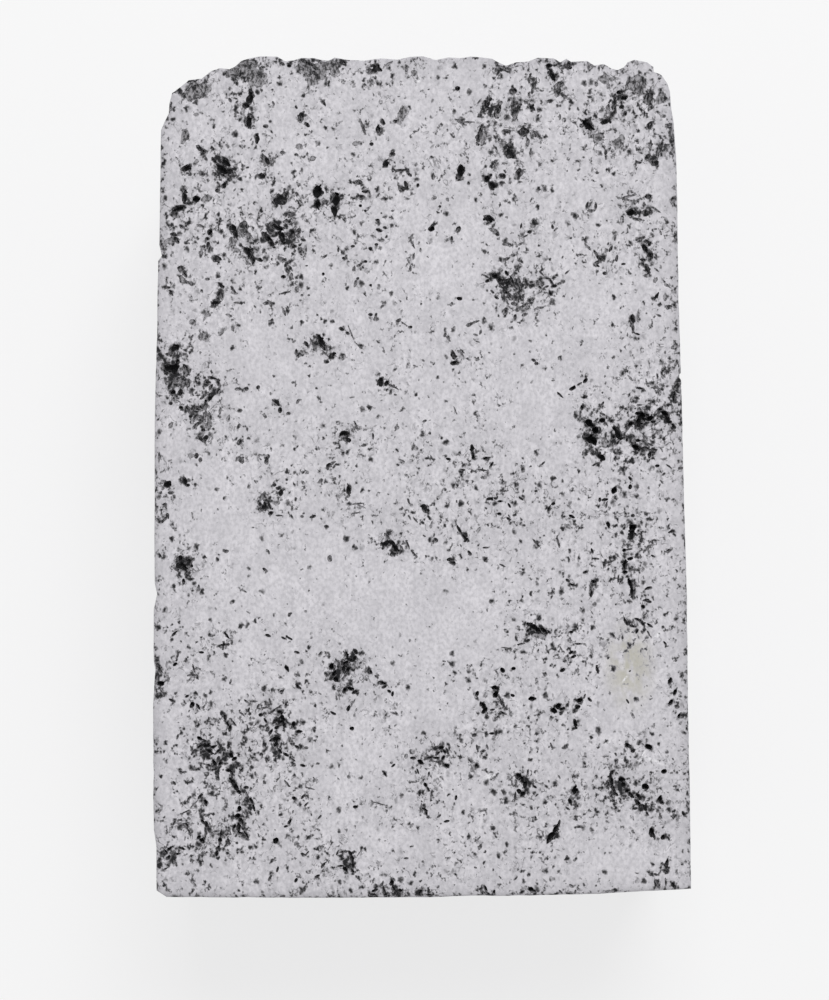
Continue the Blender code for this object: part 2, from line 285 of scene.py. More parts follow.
MAIN_PITS["break, middle"] = [
    (-10.5, 48, 1.5, 1.1, 80, G), (-9.3, 49, 0.6, 0.5, 0, B), (-5.6, 48.2, 1.5, 0.7, 50, B),
    (-5.4, 48.3, 1.6, 0.6, -30, B), (-4.1, 48.8, 1.4, 0.3, 30, D), (-6.2, 47.8, 0.9, 0.6, 0, D),
    (-1.9, 48.3, 0.8, 0.4, 90, D), (-1.1, 47.8, 0.8, 0.6, 0, G), (4.1, 45.9, 0.7, 0.6, 0, B),
    (8.7, 48.9, 0.6, 0.5, 0, B), (9.6, 48.3, 1.6, 0.3, -25, D), (10.7, 45.6, 1, 0.8, 0, D),
    (-2.5, 42.9, 2.2, 0.9, 70, G), (-3.3, 42, 0.6, 0.5, 0, D), (-4.7, 41.9, 0.9, 0.5, -65, B),
    (-5.3, 41.1, 1.1, 0.6, 85, B), (-7.1, 41.2, 1.9, 0.4, -70, D), (4.4, 41.9, 1.5, 0.4, -30, D),
    (5.4, 41.9, 1.2, 0.3, 0, D), (6.7, 40.5, 3, 0.6, 75, B), (7.2, 40.3, 2.2, 0.6, 75, G),
    (7.4, 43.7, 2, 0.9, 65, D), (8.8, 43.3, 2, 0.9, 75, D), (10.7, 43.5, 2, 0.8, 80, D),
    (9.9, 40.8, 1.2, 0.6, 0, D)]
MAIN_PITS["break, right"] = [
    (12.6, 47.1, 1.3, 0.4, 75, B), (14.9, 48.6, 0.9, 0.6, 0, B), (15.3, 47.4, 1.8, 0.7, -65, B),
    (17.2, 48.6, 1.1, 0.6, 80, B), (13.1, 46.2, 2, 0.6, 75, D), (16.1, 46.4, 1.3, 0.6, 20, D),
    (16, 45.6, 1.6, 0.7, 80, D), (16.7, 45, 1.1, 0.5, -30, D), (15, 44.4, 0.8, 0.5, 0, D),
    (12.9, 43.6, 1.2, 0.6, -50, B), (12.2, 44.2, 0.9, 0.3, -40, D), (16.2, 42.5, 0.8, 0.3, 90, D),
    (11.1, 43.2, 2, 0.7, 70, D), (11.9, 40.8, 1.5, 1, 10, D), (13.4, 40.4, 1.4, 0.5, -40, D),
    (19.7, 48.6, 1, 0.8, 80, G), (20.8, 48.3, 1, 0.3, 90, D), (20.5, 46.4, 0.6, 0.5, 80, D),
    (21.4, 46.9, 1.6, 1, -45, G), (25, 46.2, 2, 1.7, 0, G), (24.2, 46.6, 1.5, 0.4, 70, D),
    (25.8, 45.8, 1.4, 0.4, 75, D), (23.2, 45.4, 0.8, 0.6, 0, B), (23.8, 44.8, 1, 0.7, 20, B),
    (23.5, 43.7, 0.7, 0.6, 0, B), (23.9, 42.9, 0.7, 0.5, 80, B), (22.7, 44.1, 2.6, 0.4, 87, B),
    (22.4, 42.8, 1, 0.5, 60, B), (21.6, 42, 1.4, 0.7, 20, B), (21.9, 43.5, 1.3, 0.5, 85, D),
    (19.5, 41.6, 2, 1, -45, B), (26.8, 44.8, 2.4, 0.9, 80, D), (28, 44.7, 1.6, 0.9, 70, G),
    (26.8, 41.5, 1.3, 0.7, 60, D), (28.4, 42.6, 0.8, 0.5, 0, G), (29.1, 41.5, 0.9, 0.4, 0, D)]
count_pits()

# %% Main pits of the far half
MAIN_PITS["left shoulder"] = [
    (-19.6, 39.9, 1.3, 0.6, 85, B), (-28.2, 40.2, 2, 0.8, 80, G), (-26.3, 38.7, 1.4, 0.5, -35, B),
    (-25.7, 37.6, 0.8, 0.4, -55, D), (-24.7, 37.4, 1.1, 0.5, -55, B), (-23.3, 37.2, 1.5, 0.8, -50, B),
    (-23.8, 36.3, 2, 0.9, -40, B), (-22.9, 36.1, 1.4, 0.8, 20, B), (-22.6, 35.5, 1, 0.7, 0, D),
    (-24.6, 35.8, 0.7, 0.5, 0, D), (-28, 36.5, 1.3, 0.8, 30, B), (-26.1, 35.8, 0.9, 0.6, -40, D),
    (-23.5, 34.4, 0.9, 0.6, 80, B), (-24.3, 33.8, 0.7, 0.6, 0, D), (-28.2, 33, 1.6, 0.7, 88, B),
    (-26.8, 32.8, 1, 0.9, 0, B), (-28.9, 31.7, 1.6, 0.8, 20, B), (-29.3, 31, 1, 0.6, 70, D),
    (-25.5, 32.9, 1.2, 0.9, 0, G), (-18.6, 37.4, 1.8, 0.8, -45, D), (-16.6, 38.3, 0.7, 0.5, 0, D),
    (-14.6, 39, 0.9, 0.8, 0, G), (-19.1, 35.5, 1.1, 0.8, 0, D), (-16.8, 32.7, 1.8, 1.6, 0, D),
    (-12.5, 33.7, 1.6, 1.2, 80, B), (-12.5, 32.2, 1.2, 0.9, 85, B), (-13, 37.6, 0.9, 0.7, 0, G),
    (-15.6, 30.9, 1.1, 0.6, 0, D)]
MAIN_PITS["middle of the far half"] = [
    (-10.3, 32.7, 1.6, 1, 85, B), (-10.5, 31.4, 1.6, 0.8, -80, B), (-6.1, 39.3, 0.6, 0.5, 0, D),
    (-8, 39.3, 0.8, 0.6, 0, G), (-3.6, 38.1, 0.8, 0.6, 0, D), (-4.4, 37, 1.1, 0.8, 70, B),
    (-2.6, 36.2, 2, 0.4, 5, B), (-1.6, 35.7, 0.9, 0.4, -40, B), (-2, 34.4, 1.4, 0.5, -75, B),
    (-2.5, 34, 0.9, 0.8, 0, D), (-0.6, 34.4, 0.6, 0.4, 80, B), (1.2, 35.4, 0.8, 0.5, 80, D),
    (4.5, 36.2, 1.4, 1, 85, B), (4.3, 35.5, 1.2, 0.9, 60, D), (7.6, 35.2, 1.1, 0.8, 40, B),
    (8.2, 34.5, 1.2, 0.8, -30, B), (8.5, 36.5, 1.2, 0.4, 85, G), (9.4, 35.5, 1, 0.8, 0, D),
    (-7.6, 34.8, 0.9, 0.7, 0, D), (-6.8, 33.7, 1, 0.5, 0, D), (-7.2, 33, 0.9, 0.7, 0, D),
    (-4.5, 32.8, 0.8, 0.5, 0, D), (10.3, 38.3, 1.6, 1.2, 80, D), (7.8, 30.5, 1.4, 0.8, -15, B),
    (9.5, 39.4, 0.9, 0.8, 0, G)]
MAIN_PITS["middle, loose dots"] = [
    (-7.4, 32, 0.45, 0.4, 0, B), (-6.8, 31.4, 0.4, 0.35, 0, B), (-6.5, 31.7, 0.4, 0.3, 0, D),
    (-4.5, 29.4, 0.6, 0.4, -20, B), (-3.7, 29.6, 0.5, 0.35, 40, D), (-3.6, 31.4, 0.4, 0.3, 0, D),
    (-4.9, 27.9, 0.8, 0.5, 10, D), (-5.5, 27.4, 0.5, 0.4, 0, B), (-6.2, 26.9, 0.5, 0.5, 0, B),
    (-8.3, 27.2, 0.6, 0.4, 0, D), (-9.5, 26.4, 0.6, 0.4, -40, B), (-9.4, 25.8, 0.4, 0.4, 0, B),
    (-11.6, 26, 0.9, 0.35, 30, D), (-6.8, 25.4, 0.5, 0.45, 0, B), (-7.6, 24.9, 0.7, 0.4, 20, D),
    (-8.2, 24.5, 0.6, 0.4, 70, D), (-11.8, 23.9, 0.45, 0.4, 80, B), (-7.7, 23.4, 0.4, 0.35, 0, D),
    (-6.2, 22.6, 0.4, 0.35, 0, B), (-6.2, 19.1, 0.6, 0.45, 0, B), (-14.3, 21.4, 0.4, 0.35, 0, D),
    (-13.5, 21.4, 0.35, 0.3, 0, D), (3.4, 20.4, 0.5, 0.35, 70, D), (2, 31.9, 0.4, 0.35, 0, B),
    (1.3, 32.9, 0.8, 0.5, 30, G), (2.9, 32.7, 0.5, 0.35, -60, D), (-0.3, 26.8, 0.5, 0.3, 80, D)]
MAIN_PITS["right shoulder"] = [
    (12.4, 39.6, 1, 0.5, 80, D), (20.8, 40.1, 1.4, 1.1, 0, G), (23.1, 39.4, 1.6, 1.1, 75, G),
    (21.6, 38.3, 0.7, 0.5, 80, D), (26.6, 37.8, 1, 0.7, 50, D), (25.5, 37.1, 0.8, 0.4, 0, D),
    (27.4, 37.1, 1.1, 0.9, 0, D), (28.1, 38.9, 2, 0.5, 70, D), (28.7, 38.5, 1.6, 0.5, 60, G),
    (26.9, 39.1, 1.5, 0.4, 85, D), (11.4, 35.9, 1.2, 0.9, 80, D), (24.3, 33.1, 2.5, 0.35, 15, D),
    (24.5, 32.6, 2, 0.3, -10, G), (26.6, 33.1, 0.9, 0.7, 0, D), (24.6, 31.2, 1.3, 0.9, 0, B),
    (26.4, 31.1, 1.1, 0.9, 0, D), (27.6, 31.5, 1.5, 0.3, -35, D), (29.6, 32.7, 1, 0.6, 80, D),
    (19.4, 32, 1, 0.4, 80, D), (20.4, 31.9, 1, 0.4, 85, D), (19.9, 31.4, 1, 0.4, 0, D)]
count_pits()

# %% Main pits on the left
MAIN_PITS["left, black cluster"] = [
    (-29.5, 28.6, 1, 0.5, -10, B), (-29.2, 28, 1.5, 0.5, -50, B), (-29.8, 27.8, 1, 0.8, 0, G),
    (-28.5, 29.5, 0.9, 0.5, -40, D), (-26.3, 29.6, 1, 0.4, -15, D), (-25.2, 28.9, 0.9, 0.7, 60, B),
    (-25.5, 28.1, 0.6, 0.5, 0, B), (-25.4, 27.4, 0.8, 0.5, 80, D), (-26, 27.1, 0.6, 0.5, 0, D),
    (-26.2, 26.4, 1.2, 0.4, 85, D), (-24.4, 25.7, 1.2, 0.9, 0, D), (-22.5, 29.4, 1, 0.8, 0, B),
    (-22.2, 28.8, 1.3, 0.7, -70, B), (-21.4, 29.7, 1.2, 0.7, 60, D), (-20.8, 28.8, 2.2, 0.4, -60, D),
    (-21.5, 28.9, 1.4, 0.5, -50, D), (-22.5, 27.7, 1.1, 0.8, 0, G), (-20.7, 26.6, 1.4, 0.9, -40, B),
    (-20.2, 25.8, 1.4, 0.7, -65, B), (-19.3, 25.6, 0.9, 0.5, -20, B), (-22, 26.7, 0.8, 0.6, 0, G),
    (-17.2, 29.4, 1.8, 0.7, -20, B), (-16.7, 28.3, 1.9, 0.8, -75, B), (-18.5, 28.3, 1.6, 0.8, -45, B),
    (-17.9, 27.6, 1.2, 0.7, -60, B), (-17.5, 28.6, 1.1, 0.7, 30, D), (-15.6, 28.6, 1.4, 0.9, 80, D),
    (-14.7, 29, 0.8, 0.7, 80, D), (-16, 30.1, 1.1, 0.6, 0, D), (-18, 29.7, 0.5, 0.5, 0, D),
    (-15.4, 27.2, 0.9, 0.7, 0, D), (-14.5, 26.7, 1, 0.5, 80, D), (-13.9, 26.9, 1, 0.5, 85, G)]
MAIN_PITS["left, chains below it"] = [
    (-16.6, 25.6, 1.2, 0.6, -20, D), (-16.1, 25.1, 1, 0.5, 50, D), (-15.7, 24.6, 0.9, 0.4, -50, D),
    (-16.5, 23.6, 0.7, 0.5, 0, B), (-15.6, 23.6, 1.1, 0.5, 80, D), (-16.3, 21.7, 1.3, 0.3, 15, B),
    (-14.9, 22.1, 0.9, 0.6, 80, G), (-18.4, 20.5, 1.2, 0.5, 10, D), (-18, 20.3, 0.8, 0.4, -70, D),
    (-16.4, 19.4, 1.1, 0.3, -70, D), (-18, 18.2, 1.2, 0.5, 60, D), (-28.6, 24.6, 1, 0.7, 0, D),
    (-28.2, 24, 1.4, 0.5, -60, B), (-28.4, 23.2, 1.2, 0.5, -70, G), (-27.8, 22.9, 1.5, 0.4, -20, D),
    (-25.5, 23.3, 0.7, 0.4, 0, D), (-30.1, 22.3, 0.6, 0.4, 0, B), (-29.8, 21.7, 0.9, 0.5, -60, D),
    (-23.8, 22.5, 1, 0.5, -45, B), (-24, 21.8, 1.6, 0.5, 60, B), (-23.7, 21.4, 1.2, 0.5, 85, D),
    (-24.5, 20.5, 1.3, 0.6, 10, B), (-24.9, 20.1, 0.6, 0.5, 40, B), (-22.4, 22, 1.2, 0.35, -55, B),
    (-22.2, 21.6, 0.8, 0.3, 0, D), (-22.1, 20.5, 0.7, 0.3, 0, G), (-25.6, 19, 1.6, 0.35, 60, G),
    (-22.9, 19, 0.9, 0.35, -20, G), (-22.5, 17.4, 0.9, 0.25, -70, D), (-23.8, 16.9, 0.9, 0.4, 50, G),
    (-25.6, 16.5, 0.5, 0.5, 0, B), (-25.9, 16.5, 1.6, 0.9, 0, G), (-27.2, 18.2, 0.9, 0.8, 0, G)]
MAIN_PITS["left edge"] = [
    (-30.9, 27.3, 1.2, 0.4, -60, B), (-30.6, 27.1, 1.6, 0.6, 80, G), (-29.3, 15.2, 1.2, 0.8, 30, B),
    (-29.6, 14.8, 1.2, 0.6, 60, B), (-30, 14.4, 1, 0.5, 0, D), (-28.2, 14.4, 0.8, 0.4, 0, D),
    (-30.1, 12.8, 1.4, 1, 0, B), (-29.4, 12.7, 1.4, 1.2, 40, B), (-29, 13.5, 0.9, 0.6, 80, B),
    (-28, 12.6, 1.6, 0.7, -65, D), (-29.1, 11.4, 1.2, 0.7, 20, D), (-29.9, 10.8, 1.4, 0.5, 70, B),
    (-28.5, 10.7, 1.4, 0.5, 80, D), (-27.9, 11, 1, 0.6, 80, D), (-29.6, 9.9, 0.9, 0.7, 0, B),
    (-28.7, 9.9, 1, 0.7, 70, B), (-25, 11.6, 1, 0.45, -10, B), (-24.2, 11, 1.3, 0.5, -75, B),
    (-25.5, 11.1, 0.9, 0.4, 0, B), (-25.1, 10.5, 1, 0.4, 60, B), (-24.2, 10.1, 0.9, 0.6, 60, D),
    (-29.8, 8.6, 0.5, 0.5, 0, B), (-28.6, 8.1, 0.6, 0.5, 0, B), (-25.2, 9.2, 1.1, 0.6, 40, B),
    (-25.9, 9.5, 1.4, 0.4, 45, D), (-26.6, 8, 1.5, 0.6, 0, D), (-25.7, 8.3, 1.3, 0.6, 85, D),
    (-25.3, 6.5, 2.4, 0.5, 85, D), (-25.8, 7.2, 1.2, 0.6, 70, D), (-27.7, 7.7, 1.4, 0.35, -60, B),
    (-27.4, 7.2, 1, 0.5, 60, B), (-26.6, 6.9, 1.2, 0.5, 30, D), (-26.8, 6, 1.3, 0.5, 45, D),
    (-26, 5.4, 0.6, 0.5, 0, B), (-26.3, 4.4, 1, 0.5, -50, B), (-25.7, 4.5, 1, 0.6, 50, B),
    (-24, 7.7, 1, 0.35, 85, D), (-23, 6.8, 0.9, 0.5, 80, G), (-21.8, 5.9, 0.8, 0.4, 70, D),
    (-21.7, 4, 0.9, 0.6, 70, D), (-21.5, 1.9, 1.1, 0.7, -50, D), (-26.8, 2.4, 0.8, 0.6, 80, D),
    (-27.4, 2.4, 0.8, 0.6, 0, G), (-26.3, 1.9, 0.7, 0.5, 80, D), (-18.5, 1.8, 1.1, 0.6, 80, D),
    (-31.2, 2.2, 1.5, 0.3, 88, D), (-29.8, 6, 0.9, 0.6, 60, G)]
MAIN_PITS["left, middle"] = [
    (-30.2, -1, 1.1, 0.9, 30, B), (-30.7, -1.4, 0.8, 0.4, 60, D), (-29.8, -2, 0.8, 0.5, 0, D),
    (-30.5, -3.4, 0.6, 0.5, 0, D), (-30.5, -5.1, 1.6, 0.4, 45, B), (-30.2, -4.7, 0.7, 0.5, 80, D),
    (-28.2, -0.6, 1.1, 0.7, -70, B), (-27.8, -1.1, 0.6, 0.5, 0, B), (-17.6, -1.1, 0.7, 0.4, 10, B),
    (-17.2, -1.5, 0.6, 0.4, -30, B), (-16.8, -2, 0.9, 0.6, 80, B), (-18.9, -2.4, 1, 0.5, 75, D),
    (-19.2, -3.4, 1, 0.5, -50, B), (-18.8, -3.7, 1.3, 0.6, 60, B), (-19, -4, 0.9, 0.5, 0, B),
    (-18.2, -3.4, 1.5, 0.4, -65, B), (-18, -4.4, 0.7, 0.5, 30, B), (-18.6, -2.9, 0.7, 0.4, 0, D),
    (-17, -4.7, 0.9, 0.25, 0, B), (-17.2, -3.2, 0.7, 0.5, 0, G), (-13, -4.8, 0.9, 0.4, 20, B),
    (-14.3, -4.8, 0.5, 0.4, 0, D), (-23.3, -8.9, 0.8, 0.4, 0, B), (-12.1, -0.6, 0.8, 0.5, 50, D),
    (-14.2, -0.8, 0.7, 0.4, -40, G), (-11.4, -6, 0.7, 0.5, -10, D), (-23.3, -9, 0.6, 0.35, 0, B),
    (-18.3, -8.9, 0.7, 0.3, -45, D), (-17.3, 8.7, 1.1, 0.6, -50, B), (-20.9, 10.3, 0.7, 0.6, 0, D),
    (-16.9, 7.8, 0.8, 0.6, 80, B), (-15.9, 7.4, 0.6, 0.5, 0, D), (-21.9, 10.3, 0.8, 0.5, 0, D),
    (-19.5, 10.5, 0.6, 0.5, 60, D), (-17, 8.4, 0.8, 0.3, -30, D), (-14.8, 8.8, 0.7, 0.4, 70, D),
    (-18.7, 7.1, 0.7, 0.4, -50, G), (-11.2, 1.2, 0.9, 0.5, 60, B), (-10.7, 1.5, 0.9, 0.4, 30, D),
    (-10.5, -0.4, 0.7, 0.4, 40, G), (-28.7, -9.8, 1, 0.7, 80, B), (-28.8, -10.6, 1.2, 0.9, 50, B),
    (-28.3, -10.8, 1.2, 0.8, -60, B), (-27.7, -10.3, 1.4, 1, 70, D), (-27.7, -11.5, 0.6, 0.4, 0, B),
    (-28.3, -12.5, 0.8, 0.5, 88, B), (-26.5, -13.2, 0.8, 0.3, 88, B)]
count_pits()

# %% Main pits in the centre
MAIN_PITS["centre"] = [
    (-15, 14.7, 0.9, 0.4, 80, B), (-13.8, 15.6, 0.9, 0.5, -50, B), (-13, 15.6, 2, 0.3, -65, B),
    (-12.1, 16, 1.9, 0.8, -62, B), (-11.7, 15.2, 0.9, 0.6, -60, B), (-11.5, 14.4, 1.4, 0.25, -45, D),
    (-14, 14.6, 1.3, 0.4, -20, G), (-11.4, 13.5, 0.7, 0.5, 0, D), (-9.6, 17.4, 0.9, 0.45, -30, B),
    (-8.9, 16.9, 0.6, 0.45, -30, B), (-8.5, 16.9, 2.2, 0.22, -68, D), (-7.6, 15.4, 1.2, 0.2, -45, D),
    (-10.8, 14.2, 1.2, 0.6, 50, B), (-9.4, 14, 0.8, 0.5, 60, G), (-5, 11.1, 1.3, 0.8, 88, B),
    (-4.3, 11, 0.9, 0.6, 50, B), (-3.6, 10.6, 1.4, 0.35, -25, B), (2.6, 16.7, 0.6, 0.4, 60, B),
    (3, 16.2, 0.9, 0.3, -50, D), (3.6, 14.3, 1.3, 0.6, -75, B), (3.7, 13.4, 1, 0.6, 20, B),
    (4.5, 14.5, 1.1, 0.3, -50, D), (4.1, 13.3, 0.6, 0.4, 40, D), (5.5, 17.9, 0.9, 0.5, 20, D),
    (6.1, 18.2, 1.4, 0.3, 20, D), (6.8, 17, 0.6, 0.35, 70, D), (6.2, 16.7, 0.7, 0.3, -20, D),
    (7, 14.3, 1.7, 0.5, 15, D), (6.4, 13.8, 0.6, 0.5, 0, G), (-5.2, 29.1, 0.9, 0.5, -20, B),
    (-5.4, 30.3, 0.6, 0.4, 0, B), (-1.3, 27.6, 1.6, 0.3, -65, D), (-1.4, 28.2, 0.8, 0.4, 0, G),
    (-1.1, 26, 0.9, 0.3, 80, B), (-1.7, 25.4, 0.7, 0.3, -70, D), (-1.5, 24.6, 0.9, 0.35, 85, B),
    (1, 29.3, 0.9, 0.7, 30, B), (3.4, 28, 1, 0.35, 88, B), (4.2, 29.2, 0.9, 0.6, 70, D),
    (8.8, 28.6, 0.6, 0.5, -20, B), (8.2, 29.2, 0.9, 0.4, -10, G), (10.1, 27.4, 1.3, 0.5, -20, D),
    (9.9, 25.7, 0.9, 0.4, 20, D), (4.3, 21, 0.8, 0.5, -10, B), (7.6, 23.1, 0.6, 0.45, 30, B),
    (-8, 22.8, 1, 0.4, 80, D), (-8.1, 24.6, 0.7, 0.35, 85, D), (-4.8, 20.1, 0.6, 0.35, 40, B),
    (-5.6, 18.9, 1.1, 0.35, 78, B), (-2.9, 18.4, 0.9, 0.5, 30, D), (-2.2, 18, 1.2, 0.2, -35, D),
    (-1.5, 17.6, 0.6, 0.4, 10, B), (-10, 26.8, 0.7, 0.35, 80, B)]
MAIN_PITS["fan right of the centre"] = [
    (8.5, 23.7, 0.9, 0.8, 0, B), (9.1, 23.1, 1.5, 0.7, -50, B), (9.6, 22.4, 1.7, 0.9, -55, B),
    (10, 22.9, 1.3, 0.7, -30, B), (9.9, 24, 0.8, 0.5, -60, B), (10.6, 23.7, 0.9, 0.4, 50, D),
    (10.6, 22.9, 1.8, 0.5, -70, B), (9.5, 21.4, 1.6, 0.4, -60, D), (10.1, 21.5, 1.8, 0.4, -55, B),
    (10.6, 21.2, 1.2, 0.4, -20, D), (9.9, 20.7, 1.3, 0.3, -70, D), (8.2, 21.8, 0.6, 0.35, -45, B),
    (8.7, 21.1, 0.7, 0.35, -30, B), (10.7, 20.4, 0.7, 0.5, 0, D), (9.7, 19.5, 1.1, 0.6, 70, D),
    (10.9, 18.9, 0.6, 0.4, 80, B), (11.4, 22.9, 1.5, 0.4, -75, B), (12.2, 22.8, 1.3, 0.4, -82, B),
    (12.8, 22.9, 0.5, 0.45, 0, B), (13.6, 22.8, 1.1, 0.8, 0, G), (14, 24, 0.9, 0.3, -50, B),
    (14.7, 23.4, 1, 0.3, -10, B), (15.2, 22.9, 1, 0.4, -60, B), (15.5, 22.5, 0.8, 0.5, 0, B),
    (14.6, 22.4, 0.7, 0.3, 20, B), (15.1, 21.6, 0.7, 0.5, -70, B), (16.3, 22.9, 1.2, 0.3, 25, D),
    (17, 24.1, 0.7, 0.3, 40, B), (15.2, 20.7, 0.9, 0.5, 80, G), (11.1, 21, 1.3, 0.35, -70, B),
    (11.8, 21.2, 0.8, 0.4, 80, B), (12.7, 20.8, 1, 0.5, 0, D), (12, 20.2, 1.3, 0.4, 30, D),
    (11.4, 19.8, 1, 0.4, 50, D), (13.8, 19.9, 1.2, 0.35, 10, D), (12, 19.1, 0.8, 0.5, 20, D),
    (11.6, 29.6, 0.7, 0.3, 75, B), (13.1, 29.9, 1.2, 0.7, 75, D), (12.6, 28.9, 0.6, 0.5, 0, B),
    (12.1, 28.4, 1, 0.25, 25, D), (11.6, 27.5, 1, 0.3, 30, G), (15.3, 29.5, 0.7, 0.35, -80, B),
    (15.7, 29.2, 0.7, 0.3, 40, D)]
count_pits()

# %% Main pits on the right
MAIN_PITS["right, above the middle"] = [
    (20.4, 26.4, 1, 0.35, -60, B), (20.8, 25.8, 1.2, 0.5, -50, B), (20.6, 25.3, 0.9, 0.5, 30, D),
    (21.2, 25.6, 0.8, 0.3, -40, B), (19.5, 27.1, 1.3, 0.3, -45, D), (18.6, 26.2, 0.8, 0.3, 0, D),
    (20.6, 24.9, 0.7, 0.3, -30, B), (21.5, 24, 0.6, 0.5, 0, D), (22.2, 26.9, 0.9, 0.4, 60, B),
    (22.7, 28.2, 0.8, 0.4, 80, D), (22.9, 25.8, 1, 0.4, 75, B), (23.7, 25.1, 0.6, 0.35, 0, B),
    (25.4, 30.4, 1.4, 0.4, -10, D), (25.9, 28.2, 1, 0.4, 15, B), (26.5, 27.8, 0.8, 0.4, -30, B),
    (26.8, 27.5, 0.7, 0.5, 60, B), (26.3, 26.9, 1.4, 0.7, -60, B), (26.9, 26.2, 1.1, 0.7, -60, B),
    (27.5, 25.8, 0.6, 0.35, -45, B), (26, 25.6, 0.8, 0.4, -10, B), (26, 25.1, 0.8, 0.4, -75, B),
    (26.5, 24.5, 1.3, 0.6, -65, B), (27.6, 24.4, 0.9, 0.25, -40, D), (26.4, 23.7, 0.8, 0.5, 0, G),
    (28.1, 28.8, 0.7, 0.3, -70, D), (27.5, 23.2, 0.9, 0.5, 50, G), (28.8, 22.6, 0.7, 0.4, -20, G),
    (24.8, 18.6, 1.2, 0.7, -80, B), (24.8, 17.6, 1.5, 0.4, -82, B), (25.3, 16.8, 0.8, 0.3, -15, B),
    (25.4, 19, 1.6, 0.25, 85, G), (27.6, 21.3, 1.1, 0.4, 55, B), (29.1, 20, 0.9, 0.6, 10, D),
    (28.6, 21.2, 1, 0.5, 80, G), (27.9, 19, 0.7, 0.3, -20, D), (29.7, 15.3, 0.9, 0.4, 20, G),
    (28.8, 12.3, 0.7, 0.5, 0, D), (13.1, 13.7, 0.7, 0.4, -30, B), (13.4, 13.3, 0.6, 0.45, 0, B),
    (19.2, 11.3, 0.8, 0.5, 45, B), (18.5, 10.9, 0.9, 0.3, 30, D), (17.7, 10.4, 1, 0.5, 30, D),
    (25.6, 10.4, 1, 0.35, -10, D), (29.8, 10.3, 1, 0.3, 0, D), (27.5, 10.4, 1.5, 0.2, -5, D),
    (24.5, 11.6, 1, 0.3, -45, G)]
MAIN_PITS["dendrites on the right"] = [
    (19.6, 6.3, 1.1, 0.9, -50, B), (20.1, 6, 0.9, 0.5, -40, B), (20.4, 5.4, 1, 0.9, 60, B),
    (20.5, 6.6, 0.9, 0.3, 50, B), (21.2, 6.6, 0.8, 0.7, 0, B), (21.6, 6.2, 0.9, 0.3, -50, B),
    (19.9, 4.3, 1.4, 1, 0, B), (19.3, 4.4, 0.9, 0.5, -50, B), (19.1, 4.8, 0.7, 0.4, 85, B),
    (19.9, 3.3, 1.4, 0.3, -78, B), (21.6, 4.9, 0.7, 0.3, 80, D), (21.5, 4, 1.3, 0.6, 80, G),
    (20.9, 2.6, 0.7, 0.4, 70, B), (21.1, 2.2, 1.2, 0.7, -35, B), (20.4, 1.4, 1, 0.25, 30, D),
    (22.3, 3, 0.5, 0.5, 0, G), (22.6, 4.6, 0.6, 0.5, 0, D), (22.3, 6.5, 0.6, 0.35, 20, B),
    (22.7, 5.6, 0.9, 0.6, -50, B), (23, 5, 1.4, 0.7, -75, B), (23.4, 4.4, 1, 0.4, 20, D),
    (23, 3.9, 0.8, 0.3, 60, D), (24.1, 4.3, 0.6, 0.35, 80, B), (24.3, 5.8, 0.9, 0.4, 70, B),
    (24.6, 6.2, 0.9, 0.6, 20, D), (25.5, 7.4, 0.9, 0.5, 0, B), (25.9, 7.1, 1.1, 0.8, 30, B),
    (25.5, 6.3, 1.5, 0.7, 85, B), (25.6, 5.6, 0.8, 0.4, 20, B), (26.4, 7.3, 0.9, 0.4, -20, B),
    (26.8, 6.8, 1.1, 0.7, 20, B), (27.2, 6.4, 0.7, 0.4, 0, B), (26.2, 6.6, 0.8, 0.35, 70, D),
    (28.1, 7.9, 0.6, 0.4, 0, B), (28.6, 7.4, 1, 0.7, -30, B), (28.9, 6.8, 1.2, 0.6, -65, B),
    (29.1, 6.4, 0.8, 0.5, 0, B), (29.6, 5.9, 0.9, 0.4, -70, D), (29.7, 9.4, 1.4, 0.5, 85, D),
    (25.6, 8.4, 0.9, 0.25, 0, D), (24.8, 3.8, 0.7, 0.3, -50, D), (25.4, 4.2, 0.6, 0.45, 0, B),
    (25.2, 3.4, 1.1, 0.8, -30, B), (25.7, 3.1, 0.8, 0.4, 30, B), (26.1, 4.6, 0.9, 0.3, 85, B),
    (26.4, 3.3, 1, 0.35, -20, B), (27.2, 3.1, 1.2, 0.35, 0, B), (26.8, 2.5, 1, 0.5, 75, B),
    (26.9, 3.7, 0.7, 0.3, -30, B), (27.8, 5.1, 0.7, 0.5, 80, G), (27.7, 1.2, 0.6, 0.4, 0, B),
    (29.1, 1.1, 0.9, 0.25, -35, B), (18.8, 8.1, 0.7, 0.5, 80, B), (18.6, 7.1, 1.2, 0.2, 85, D),
    (16.2, 9.6, 1.1, 0.3, -45, D), (19.1, 9.3, 0.6, 0.4, 0, B), (21.2, 8.5, 0.8, 0.3, 60, D)]
